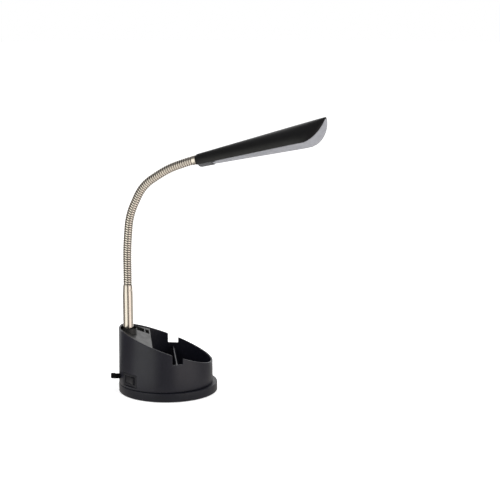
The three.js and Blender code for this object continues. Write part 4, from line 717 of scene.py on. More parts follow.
@dataclass(frozen=True)
class Finish:
    """A finish with fine grain, slow drift of gloss and tone, and edges lightened by wear and a painted
    highlight.
    """

    slot: str  # The record's material slot
    label: str  # What sets this finish apart from others of its slot; part of the material's name
    colour: Triple  # Base colour, linear
    roughness: float  # Mean roughness
    metallic: float = 0.0  # Share of metal
    specular: float = 0.5  # Strength of the clear reflection, where 0.5 is plastic's
    grain: float = 0.0005  # Size of the surface's grain
    depth: float = 0.00002  # Height of the grain
    drift: float = 0.03  # Size of the slow changes of tone and gloss
    tone_spread: float = 0.08  # How far the tone drifts either way, as a share of the colour
    gloss_spread: float = 0.05  # How far the roughness drifts either way
    edge_wear_and_highlight: float = 0.12  # How much lighter a sharp edge is, from wear and a painted highlight
    stretch: Triple = (1.0, 1.0, 1.0)  # Scale of the grain along each axis, for brushed and drawn surfaces

    def material(self) -> bpy.types.Material:
        """Builds the finish's material once.

        Returns:
            The material.
        """
        name = f"{self.slot}_{self.label or 'finish'}"
        found = bpy.data.materials.get(name)
        if found:
            return found
        material = bpy.data.materials.new(name)
        board = NodeBoard(material)
        shader = board.add("ShaderNodeBsdfPrincipled", Metallic=self.metallic)
        shader.inputs["Specular IOR Level"].default_value = self.specular
        board.place = board.add("ShaderNodeTexCoord").outputs["Object"]
        board.link(self.tone(board), shader, "Base Color")
        board.link(self.gloss(board), shader, "Roughness")
        board.link(self.relief(board), shader, "Normal")
        self.extras(board, shader)
        board.link(shader.outputs[0], board.add("ShaderNodeOutputMaterial"), "Surface")
        material.diffuse_color = (*self.colour, 1.0)
        return material

    def noise(self, board: NodeBoard, size: float, detail: float, stretched: bool = False) -> Socket:
        """Makes noise in the piece's own coordinates.

        Args:
            board: Board of the material.
            size: Size of the noise's features.
            detail: Number of finer layers.
            stretched: Whether the finish's stretch applies.

        Returns:
            The socket of a value round 0.5.
        """
        place = board.place
        if stretched and self.stretch != (1.0, 1.0, 1.0):
            node = board.add("ShaderNodeMapping", Scale=self.stretch)
            place = board.link(place, node, "Vector").outputs["Vector"]
        node = board.add("ShaderNodeTexNoise", Scale=1 / size, Detail=detail)
        return board.link(place, node, "Vector").outputs["Fac"]

    def tone(self, board: NodeBoard) -> Socket:
        """Makes the colour: the base colour that drifts slowly, lighter where an edge stands out, for wear
        and a painted highlight.

        Args:
            board: Board of the material.

        Returns:
            The colour's socket.
        """
        drift = board.spread(self.noise(board, self.drift, 3.0), 0.0, 1.0)
        fine = board.spread(self.noise(board, self.grain * 3, 2.0, True), -0.25, 0.25)
        low = tuple(max(0.0, part * (1 - self.tone_spread)) for part in self.colour)
        high = tuple(min(1.0, part * (1 + self.tone_spread)) for part in self.colour)
        plain = board.mix(board.sum_of(drift, fine, "ADD"), low, high)
        patch = board.spread(self.noise(board, self.drift / 8, 4.0), 0.4, 1.2)
        # Lighter sharp edges: wear, and a painted highlight
        edge = board.sum_of(board.attribute(EDGE_ATTRIBUTE), patch, "MULTIPLY")
        light = tuple(min(1.0, 0.25 + part) for part in self.colour)
        return board.mix(board.sum_of(edge, self.edge_wear_and_highlight, "MULTIPLY"), plain, light)

    def gloss(self, board: NodeBoard) -> Socket:
        """Returns the socket of the roughness, which drifts either way of its mean."""
        low, high = self.roughness - self.gloss_spread, self.roughness + self.gloss_spread
        return board.spread(self.noise(board, self.drift / 3, 4.0), low, high)

    def relief(self, board: NodeBoard) -> Socket:
        """Returns the socket of the normal with the grain's relief."""
        node = board.add("ShaderNodeBump", Strength=0.6, Distance=self.depth)
        return board.link(self.noise(board, self.grain, 2.0, True), node, "Height").outputs["Normal"]

    def extras(self, board: NodeBoard, shader: Node) -> None:
        """Sets what only some finishes have."""


@dataclass(frozen=True)
class Frosted(Finish):
    """A milky sheet that lets a little light in under its surface."""

    def extras(self, board: NodeBoard, shader: Node) -> None:
        """Adds a short scatter under the surface."""
        shader.inputs["Subsurface Weight"].default_value = 0.25
        shader.inputs["Subsurface Radius"].default_value = (1.0, 1.0, 1.0)
        shader.inputs["Subsurface Scale"].default_value = 0.0015


@dataclass(frozen=True)
class WoundWithGrooveShade(Finish):
    """Metal strip wound into a hose, with painted shade, and some grime, in the grooves between its
    windings.
    """

    def tone(self, board: NodeBoard) -> Socket:
        """Returns the socket of the colour, which falls to a tenth where the groove attribute is 1: painted
        shade in the grooves, with some grime.
        """
        # Painted shade in the grooves between the windings, with some grime
        groove_shade_colour = tuple(part / 10 for part in self.colour)
        return board.mix(board.attribute(GROOVE_SHADE_ATTRIBUTE), super().tone(board), groove_shade_colour)


@dataclass(frozen=True)
class Circuit(Finish):
    """A printed board: lighter tracks in a green coat."""

    def tone(self, board: NodeBoard) -> Socket:
        """Makes the coat's colour, with lighter tracks where cell borders run.

        Args:
            board: Board of the material.

        Returns:
            The colour's socket.
        """
        cells = board.add("ShaderNodeTexVoronoi", feature="DISTANCE_TO_EDGE", Scale=1 / 0.004)
        board.link(board.place, cells, "Vector")
        line = board.sum_of(cells.outputs["Distance"], 0.06, "LESS_THAN")
        return board.mix(line, self.colour, tuple(part * 2.2 for part in self.colour))


BLACK = Finish(
    "black_plastic", "cup", (0.0115, 0.0117, 0.0185), 0.36, specular=0.42, depth=0.000012, edge_wear_and_highlight=0.05,
)
BASE_BLACK = Finish(
    "black_plastic", "base", (0.0078, 0.0082, 0.0135), 0.38, specular=0.36, depth=0.000012, edge_wear_and_highlight=0.05,
)
SHELL_BLACK = Finish(
    "black_plastic", "head", (0.0042, 0.0042, 0.0047), 0.36, specular=0.4, depth=0.000008, edge_wear_and_highlight=0.02,
)
SWITCH_BLACK = Finish(
    "black_plastic", "bezel", (0.0075, 0.0078, 0.012), 0.4, specular=0.36, grain=0.0003, edge_wear_and_highlight=0.03,
)
ROCKER_BLACK = Finish(
    "rocker_plastic", "", (0.0075, 0.0075, 0.011), 0.4, specular=0.36, grain=0.0003, edge_wear_and_highlight=0.03,
)
DECK = Finish("deck_plastic", "", (0.022, 0.022, 0.022), 0.36, depth=0.000008, edge_wear_and_highlight=0.05)
NICKEL = Finish(
    "satin_nickel", "", (0.84, 0.77, 0.69), 0.2, metallic=1.0, grain=0.00035, depth=0.000004,
    tone_spread=0.04, edge_wear_and_highlight=0.1, stretch=(1.0, 1.0, 0.12),
)
# Hose finish with painted shade, and some grime, in its grooves
NICKEL_HOSE = WoundWithGrooveShade(
    "satin_nickel", "hose", (0.9, 0.83, 0.74), 0.2, metallic=1.0, depth=0.000004,
    tone_spread=0.06, edge_wear_and_highlight=0.15,
)
ZINC = Finish(
    "zinc_steel", "", (0.56, 0.57, 0.58), 0.36, metallic=1.0, grain=0.0008, depth=0.00001,
    tone_spread=0.15, drift=0.006,
)
BRASS = Finish("brass", "", (0.72, 0.52, 0.24), 0.3, metallic=1.0, grain=0.0004, depth=0.000006, drift=0.006)
PAD = Finish("pad_rubber", "", (0.022, 0.022, 0.022), 0.86, specular=0.3, grain=0.0006, depth=0.00006)
TIE = Finish("cord_jacket", "tie", (0.016, 0.016, 0.017), 0.7, grain=0.0006, depth=0.00008)
CORD = Finish("cord_jacket", "", (0.009, 0.009, 0.009), 0.5, specular=0.4, grain=0.0004, depth=0.000012)
BOOT_BLACK = Finish(
    "cord_jacket", "boot", (0.002, 0.002, 0.002), 0.5, specular=0.05, grain=0.0004, edge_wear_and_highlight=0.02,
)
FROST = Frosted(
    "frosted_plastic", "", (0.4, 0.4, 0.425), 0.75, specular=0.04, grain=0.0004, depth=0.00001, edge_wear_and_highlight=0.3,
)
GREY = Finish("grey_plastic", "", (0.135, 0.135, 0.14), 0.6, specular=0.12)
SHEET = Finish(
    "aluminium_sheet", "", (0.72, 0.73, 0.74), 0.42, metallic=1.0, grain=0.0004, depth=0.00001,
    stretch=(0.1, 1.0, 1.0),
)
BOARD = Circuit("circuit_board", "", (0.015, 0.1, 0.045), 0.4)
WIRE = Finish("wire_insulation", "", (0.28, 0.02, 0.016), 0.45, grain=0.0006)


# Studio


@dataclass
class Studio:
    """Pale floor, soft light and the camera at the photograph's angle."""

    camera_place: Triple = (-0.08521, -1.95378, 0.56104)  # Place of the camera
    camera_target: Triple = (0.09939, -0.00944, 0.17339)  # Point that it looks at
    lens: float = 119.28  # Focal length, mm on a 36 mm sensor
    floor_radius: float = 6.0  # Radius of the round floor
    floor_drop: float = 0.00015  # How far the floor lies below the lamp's foot
    floor_lift: float = 0.55  # White that the floor adds where the camera sees it
    floor_glow: float = 0.95  # Strength of the floor in reflections
    even: float = 0.62  # Strength of the even light from all sides
    ring_turn: float = 5.6  # Turn of the ring of soft boxes against the axes, degrees
    # Sines of the heights at which the ring starts and ends fading into the ceiling
    ceiling: Pair = (0.3, 0.75)
    ceiling_colour: Triple = (0.16, 0.16, 0.16)  # What reflections show of the ceiling
    # Distances from the lamp between which the floor's reflection turns to the ring's
    foreground: Pair = (0.07, 0.17)
    foreground_colour: Triple = (0.5, 0.48, 0.46)  # What reflections show of the floor close to the lamp
    # Stops of the ring: degrees clockwise from the side behind the lamp, and a colour
    ring: tuple[tuple[float, Triple], ...] = (
        (0.0, (1.0, 1.0, 1.0)), (40.0, (1.0, 1.0, 1.0)), (58.0, (0.27, 0.26, 0.25)),
        (90.0, (0.3, 0.28, 0.26)), (104.0, (0.75, 0.7, 0.66)), (120.0, (1.25, 1.17, 1.1)),
        (153.0, (1.25, 1.17, 1.1)), (165.0, (0.22, 0.2, 0.18)), (193.0, (0.22, 0.2, 0.18)),
        (206.0, (1.22, 1.22, 1.13)), (242.0, (1.2, 1.2, 1.12)), (262.0, (0.2, 0.18, 0.16)),
        (300.0, (0.07, 0.07, 0.065)), (324.0, (1.0, 1.0, 1.0)), (360.0, (1.0, 1.0, 1.0)),
    )

    def build(self) -> None:
        """Makes the camera, the lamps, the world and the floor."""
        self.make_camera()
        self.make_world()
        self.make_floor()
        self.make_lamps()
        bpy.context.scene.view_settings.view_transform = "Standard"

    def aim(self, thing: Piece, place: Triple, target: Triple) -> None:
        """Puts a camera or a lamp at a place and turns it to a target."""
        thing.location = place
        thing.rotation_euler = (Vector(target) - Vector(place)).to_track_quat("-Z", "Y").to_euler()

    def make_camera(self) -> None:
        """Makes the camera and sets it as the scene's."""
        data = bpy.data.cameras.new("view_camera")
        data.lens = self.lens
        camera = linked("view_camera", data)
        self.aim(camera, self.camera_place, self.camera_target)
        bpy.context.scene.camera = camera

    def surround(self, board: NodeBoard, place: Socket) -> Socket:
        """Makes the colour of the ring of soft boxes and flags.

        The ring's angle is atan2(x, y) of the place, counted from the side away from the camera.

        Args:
            board: Board of the world or the floor.
            place: Place that is seen.

        Returns:
            The colour's socket.
        """
        parts = board.link(place, board.add("ShaderNodeSeparateXYZ"), 0)
        angle = board.add("ShaderNodeMath", operation="ARCTAN2")
        board.link(parts.outputs["X"], angle, 0)
        board.link(parts.outputs["Y"], angle, 1)
        turn = board.sum_of(angle.outputs[0], 1 / TURN, "MULTIPLY")
        share = board.sum_of(turn, 1.0 - self.ring_turn / 360, "ADD")
        share = board.sum_of(share, 1.0, "MODULO")
        colours = board.add("ShaderNodeValToRGB")
        stops = colours.color_ramp
        stops.interpolation = "EASE"
        stops.elements.remove(stops.elements[-1])
        stops.elements[0].color = (*self.ring[0][1], 1.0)
        for degrees, colour in self.ring[1:]:
            stops.elements.new(degrees / 360.0).color = (*colour, 1.0)
        return board.link(share, colours, "Fac").outputs["Color"]

    def make_world(self) -> None:
        """White for the camera and through clear parts, the ring for reflections, even light elsewhere."""
        world = bpy.data.worlds.new("studio")
        bpy.context.scene.world = world
        board = NodeBoard(world)
        place = board.add("ShaderNodeTexCoord").outputs["Generated"]
        rays = board.add("ShaderNodeLightPath").outputs
        even = board.add("ShaderNodeBackground", Color=WHITE, Strength=self.even)
        white = board.add("ShaderNodeBackground", Color=WHITE)
        ring = board.add("ShaderNodeBackground")
        parts = board.link(place, board.add("ShaderNodeSeparateXYZ"), 0)
        fade = board.mapped(parts.outputs["Z"], (*self.ceiling, 0.0, 1.0), "SMOOTHSTEP")
        board.link(board.mix(fade, self.surround(board, place), self.ceiling_colour), ring, "Color")
        lit = board.either(rays["Is Glossy Ray"], even.outputs[0], ring.outputs[0])
        seen = board.sum_of(rays["Is Camera Ray"], rays["Is Transmission Ray"], "MAXIMUM")
        whole = board.either(seen, lit, white.outputs[0])
        board.link(whole, board.add("ShaderNodeOutputWorld"), "Surface")

    def make_floor(self) -> None:
        """A round floor that is pale, and carries the ring's colours in reflections."""
        mesh = bpy.data.meshes.new("studio_floor")
        rim = polar(self.floor_radius, circle(64), -self.floor_drop)
        mesh.from_pydata(rim.tolist(), [], [list(range(len(rim)))])
        material = bpy.data.materials.new("studio_floor")
        board = NodeBoard(material)
        plain = board.add("ShaderNodeBsdfDiffuse", Color=(0.93, 0.93, 0.93, 1.0))
        lift = board.add("ShaderNodeEmission", Color=WHITE, Strength=self.floor_lift)
        lifted = board.add("ShaderNodeAddShader")
        board.link(plain.outputs[0], lifted, 0)
        board.link(lift.outputs[0], lifted, 1)
        glow = board.add("ShaderNodeEmission", Strength=self.floor_glow)
        place = board.add("ShaderNodeNewGeometry").outputs["Position"]
        away = board.link(place, board.add("ShaderNodeVectorMath", operation="LENGTH"), 0).outputs["Value"]
        fade = board.mapped(away, (*self.foreground, 0.0, 1.0), "SMOOTHSTEP")
        colour = board.mix(fade, self.foreground_colour, self.surround(board, place))
        board.link(colour, glow, "Color")
        rays = board.add("ShaderNodeLightPath").outputs
        seen = board.either(rays["Is Camera Ray"], plain.outputs[0], lifted.outputs[0])
        whole = board.either(rays["Is Glossy Ray"], seen, glow.outputs[0])
        board.link(whole, board.add("ShaderNodeOutputMaterial"), "Surface")
        mesh.materials.append(material)
        linked("studio_floor", mesh)

    def make_lamps(self) -> None:
        """Three large soft boxes: over the lamp, at the left and at the right."""
        lamps = (
            ("top_box", (0.1, 0.1, 1.6), (0.1, 0.0, 0.1), 1.4, 9.0),
            ("left_box", (-1.4, -0.9, 0.9), (0.0, 0.0, 0.15), 1.0, 8.0),
            ("right_box", (1.5, -0.8, 0.8), (0.0, 0.0, 0.15), 1.0, 6.0),
        )
        for name, place, target, size, power in lamps:
            data = bpy.data.lights.new(name, "AREA")
            data.size = size
            data.energy = power
            lamp = linked(name, data)
            lamp.visible_glossy = False
            self.aim(lamp, place, target)


# Supply cord


def resampled(points: Array, count: int) -> Array:
    """Returns evenly spaced places on a line of points."""
    length = run_along(points)
    places = np.linspace(0.0, length[-1], count)
    return joined(*(np.interp(places, length, points[:, i]) for i in range(3)))


def smooth_path(points: Array, count: int) -> Array:
    """Runs a smooth curve through points and returns evenly spaced places on it.

    Each span is the Hermite curve (2s^3-3s^2+1) p1 + (s^3-2s^2+s) m1 + (3s^2-2s^3) p2 + (s^3-s^2) m2, with
    slopes m weighted by the square roots of the spans beside it.

    Args:
        points: Points that the curve passes, of shape (n, 3).
        count: Number of places.

    Returns:
        Places of shape (count, 3).
    """
    run = np.concatenate([[2 * points[0] - points[1]], points, [2 * points[-1] - points[-2]]])
    gap = np.sqrt(norm(np.diff(run, axis=0), axis=1))[:, None]
    before, here, after = gap[:-2], gap[1:-1], gap[2:]
    p0, p1, p2, p3 = run[:-3], run[1:-2], run[2:-1], run[3:]
    m1 = ((p1 - p0) / before - (p2 - p0) / (before + here) + (p2 - p1) / here) * here
    m2 = ((p2 - p1) / here - (p3 - p1) / (here + after) + (p3 - p2) / after) * here
    s = np.linspace(0.0, 1.0, 24, endpoint=False)[None, :, None]
    p1, p2, m1, m2 = (part[:, None] for part in (p1, p2, m1, m2))
    start = (2 * s**3 - 3 * s**2 + 1) * p1 + (s**3 - 2 * s**2 + s) * m1
    curve = start + (3 * s**2 - 2 * s**3) * p2 + (s**3 - s**2) * m2
    return resampled(np.concatenate([curve.reshape(-1, 3), points[-1:]]), count)


@dataclass
class SupplyCord:
    """Cord from the boot down to the table, its coil behind the cup, the tail and the plug."""

    exit: Triple = (-0.0666, 0.0110344, 0.0167507)  # Place where the cord leaves the boot
    # Direction in which it leaves
    way: Triple = (0.0, cos(radians(PLAN.cord_droop)), -sin(radians(PLAN.cord_droop)))
    diameter: float = 0.0044  # Diameter of the cord
    length: float = 1.449  # Length from the boot to the plug
    # Free stretch, as offsets from the exit
    route: tuple[Triple, ...] = (
        (0, 0, 0), (0, 0.006, -0.0013), (0.0013, 0.0126, -0.0032), (0.0042, 0.0192, -0.0059),
        (0.0086, 0.0257, -0.0091), (0.0144, 0.0323, -0.0118), (0.0216, 0.0381, -0.0136),
        (0.03, 0.043, -0.0144), (0.0394, 0.0468, -0.01455), (0.0494, 0.04935, -0.01455),
        (0.0596, 0.05065, -0.01455), (0.068, 0.05097, -0.01455), (0.074, 0.05097, -0.01455),
    )
    # Stretch from the coil to the plug, as offsets from the coil's end
    tail_route: tuple[Triple, ...] = (
        (0, 0, 0), (-0.005, 0, -0.0002), (-0.011, -0.0001, -0.0018), (-0.0175, -0.0003, -0.0039),
        (-0.024, -0.0009, -0.0049), (-0.0305, -0.0028, -0.0049), (-0.0362, -0.0064, -0.0046),
        (-0.0404, -0.0116, -0.003), (-0.0424, -0.0172, -0.001), (-0.0428, -0.0215, -0.0002),
        (-0.0428, -0.025, -0.0001),
    )
    # Middle of the coil, level with its lower layer's axis
    coil_middle: Triple = (0.0121, 0.0983794, 0.0022007)
    coil_inner: float = 0.018  # Radius of the innermost turn
    pitch: float = 0.0049  # Distance from turn to turn, across and up
    layer_turns: float = 3.75  # Turns in each of the two layers
    straight: float = 0.0047  # Straight run before and after the coil
    tie_angle: float = 30.0  # Place of the tie round the coil, degrees
    tie_thickness: float = 0.00045  # Thickness of the tie's strap
    tie_width: float = 0.008  # Width of the tie's strap
    tie_gap: float = 0.00005  # Gap between the tie and the turns
    sink: float = 0.003  # How far the cord's ends run into the boot and the plug
    sides: int = 16  # Points round the cord
    per_turn: int = 56  # Points to a turn of the coil

    def build(self) -> None:
        """Makes the cord, its tie and the plug."""
        path, ends = self.path()
        side = np.cross(np.gradient(path, axis=0), (0.0, 0.0, 1.0))
        round_tube = swept(path, side, np.full((len(path), 1), self.diameter / 2), self.sides)
        cord = make("supply_cord", CORD, ("cord", "cord_coil", "cord_tail"), round_tube)
        tie = make("cord_tie", TIE, (), self.tie())
        plug = Plug(nose=tuple(ends[1])).build()

    def radius_at(self, turn: Array) -> Array:
        """Radius of the coil's axis after a number of turns: it winds in and out again."""
        return self.coil_inner + self.pitch * np.abs(turn - self.layer_turns)

    def coil(self) -> Array:
        """Axis of the coil: it winds in on the table, climbs one layer and winds out on top.

        The turns rise by the tie's thickness where the tie passes under them.

        Returns:
            Places on the axis.
        """
        turn = np.arange(int(2 * self.layer_turns * self.per_turn) + 1) / self.per_turn
        angle = TURN * turn - pi / 2
        climb = np.clip(2 * (turn - self.layer_turns) + 0.5, 0.0, 1.0)
        rise = self.pitch * (1 - np.cos(pi * climb)) / 2
        away = np.abs((angle - radians(self.tie_angle) + pi) % TURN - pi)
        lift = (self.tie_thickness + self.tie_gap) * (1 - ramp(away, 0.2, 0.9))
        return polar(self.radius_at(turn), angle, rise + lift) + self.coil_middle

    def path(self) -> tuple[Array, Array]:
        """Joins the cord's stretches.

        Returns:
            The whole axis, and its two ends before they run into the boot and the plug.
        """
        start = np.array(self.exit)
        free = smooth_path(np.array(self.route) + start, 38)
        coil = self.coil()
        tail_start = coil[-1] - (self.straight, 0.0, 0.0)
        tail = smooth_path(np.array(self.tail_route) + tail_start, 24)
        into_boot = start - self.sink * np.array(self.way)
        into_plug = tail[-1] - (0.0, self.sink, 0.0)
        whole = np.concatenate([[into_boot], free, coil, tail, [into_plug]])
        return whole, np.stack([start, tail[-1]])

    def tie(self) -> Shell:
        """Wraps the strap round the bundle of turns, along the outline of its four corner turns.

        Returns:
            The strap.
        """
        angle = radians(self.tie_angle)
        share = (angle + pi / 2) / TURN
        turns = share + np.array([3.0, 0.0, 7.0, 4.0])
        low = self.coil_middle[2] + self.tie_thickness + self.tie_gap
        centres = joined(self.radius_at(turns), low + self.pitch * np.array([0, 0, 1, 1]))
        corner = quarter(7)
        way = np.concatenate([corner + pi * (1 + i / 2) for i in range(4)])
        out = joined(np.cos(way), np.sin(way))
        centre = np.repeat(centres, 7, axis=0)
        reach = self.diameter / 2
        half = self.tie_width / 2
        outer, drawn = reach + self.tie_thickness, half * 0.94
        section = ((reach, -half), (outer, -drawn), (outer, drawn), (reach, half))
        columns = []
        for depth, across in section:
            flat = centre + depth * out
            columns.append(joined(flat[:, 0], np.full(len(flat), across), flat[:, 1]))
        grid = np.stack(columns, axis=1)
        return moved(skin(np.concatenate([grid, grid[:1]])), angle, (*self.coil_middle[:2], 0.0))


@dataclass
class Plug:
    """Two-pin plug with a ribbed nose, which lies on the table with its pins away from the coil."""

    nose: Triple  # End of the cord that the nose takes
    level: float = 0.007  # Level of the plug's axis
    width: float = 0.02  # Width of the body
    height: float = 0.014  # Height of the body
    face: float = 0.03  # Distance from the nose's tip to the face with the pins
    ribbed: float = 0.0085  # Length of the ribbed nose
    block: float = 0.0145  # Distance from the nose's tip to the full section
    edge: float = 0.001  # Radius of the face's edge
    blade: Triple = (0.016, 0.0063, 0.0015)  # Length, width and thickness of a pin outside the face
    spacing: float = 0.0127  # Distance between the pins

    def build(self) -> list[Piece]:
        """Makes the body and the two pins and returns them."""
        pieces = [make("plug", CORD, ("plug_body",), self.placed(self.body()))]
        for i, side in enumerate((-1, 1), start=1):
            pieces.append(make(f"plug_pin_{i}", BRASS, (f"plug_blade_{i}",), self.placed(self.pin(side))))
        return pieces

    def placed(self, shell: Shell) -> Shell:
        """Moves a shell that was drawn along +X from the nose's tip to its place."""
        place = (self.nose[0], self.nose[1] - 0.0003, self.level)
        return moved(shell, -pi / 2, place)

    def body(self) -> Shell:
        """Lofts the body from a round nose to a rounded block: |y/w|^n + |z/h|^n = 1 with n from 2 to 5.

        Returns:
            The body, along +X.
        """
        x = np.concatenate([np.linspace(0, 0.0165, 56), np.linspace(0.018, 0.029, 6),
                            self.face - self.edge * (1 - np.sin(quarter(6)[1:]))])
        swell = ramp(x, self.ribbed, self.block)
        cone = 0.003 + 0.0022 * x / 0.012
        groove = 0.0005 * np.clip(np.cos(TURN * (x - 0.0012) / 0.002) * 3 - 1.6, 0, 1) * (x < self.ribbed)
        close = self.edge * fall_off((x - self.face + self.edge) / self.edge)
        half_width = (cone - groove) * (1 - swell) + self.width / 2 * swell - close
        half_height = (cone - groove) * (1 - swell) + self.height / 2 * swell - close
        power = 2 / (2 + 3 * swell)
        angle = circle(48)[None, :]
        cosine, sine = np.cos(angle), np.sin(angle)
        y = half_width[:, None] * np.sign(cosine) * np.abs(cosine) ** power[:, None]
        z = half_height[:, None] * np.sign(sine) * np.abs(sine) ** power[:, None]
        grid = joined(np.repeat(x[:, None], 48, axis=1), y, z)
        return capped(grid, np.array([(x[0], 0.0, 0.0), (x[-1], 0.0, 0.0)]))

    def pin(self, side: int) -> Shell:
        """Makes one flat pin with a rounded tip and rounded edges.

        Args:
            side: Side of the plug, -1 or 1.

        Returns:
            The pin, along +X.
        """
        length, width, thickness = self.blade
        start, end = self.face - 0.004, self.face + length
        corners = rectangle((start, end), (-width / 2, width / 2))
        outline = rounded(corners, [0.0002, 0.0016, 0.0016, 0.0002], 5, closed=True)
        points, quads = padded_slab(outline, -thickness / 2, thickness / 2, 0.0003)
        upright = joined(points[:, 0], side * self.spacing / 2 - points[:, 2], points[:, 1])
        return upright, quads


# Base


@dataclass
class Base:
    """Round foot with its skirt, and the ribbed pad below it."""

    radius: float = 0.0598  # Radius of the foot
    skirt: float = 0.0576  # Radius inside the skirt
    foot: float = 0.0004  # Level of the skirt's lower edge
    top: float = 0.011  # Level of the foot's top
    ceiling: float = 0.0088  # Level of the foot's underside inside the skirt
    bevel: float = 0.0006  # Bevel of the skirt's edges
    pad_radius: float = 0.052  # Radius of the pad
    pad_top: float = 0.0015  # Level of the pad's top
    rib_depth: float = 0.0002  # Depth between the pad's ribs
    rib_pitch: float = 0.004  # Distance from rib to rib
    sides: int = 192  # Points round each piece

    def build(self) -> None:
        """Makes the foot and the pad."""
        make("base_foot", BASE_BLACK, ("base_disc",), self.ring())
        make("base_pad", PAD, ("anti_slip_pad",), self.pad())

    def ring(self) -> Shell:
        """Turns the foot's outline with rounded bevels.

        Returns:
            The closed shell.
        """
        inner = self.radius - self.bevel
        corners = [
            (0, self.ceiling), (self.skirt, self.ceiling), (self.skirt, self.foot), (inner, self.foot),
            (self.radius, self.foot + self.bevel), (self.radius, self.top - self.bevel),
            (inner, self.top), (0, self.top),
        ]
        return turned(densified(rounded(corners, [0, 0.0005, *[0.0003] * 5, 0]), 0.0045), self.sides)

    def pad(self) -> Shell:
        """Turns the pad's outline, whose underside has round ribs: depth (1 - cos) / 2 over one pitch.

        Returns:
            The closed shell.
        """
        reach = np.linspace(0.004, self.pad_radius - 0.002, 150)
        rib = self.rib_depth / 2 * (1 - np.cos(TURN * reach / self.rib_pitch))
        radius, top = self.pad_radius, self.pad_top
        edge = rounded([(radius - 0.0015, 0), (radius, 0), (radius, top), (0, top)], [0, 0.0005, 0.0002, 0])
        line = np.concatenate([[(0, 0), (0.002, 0)], joined(reach, rib), edge])
        return turned(line, self.sides)


# Pen cup


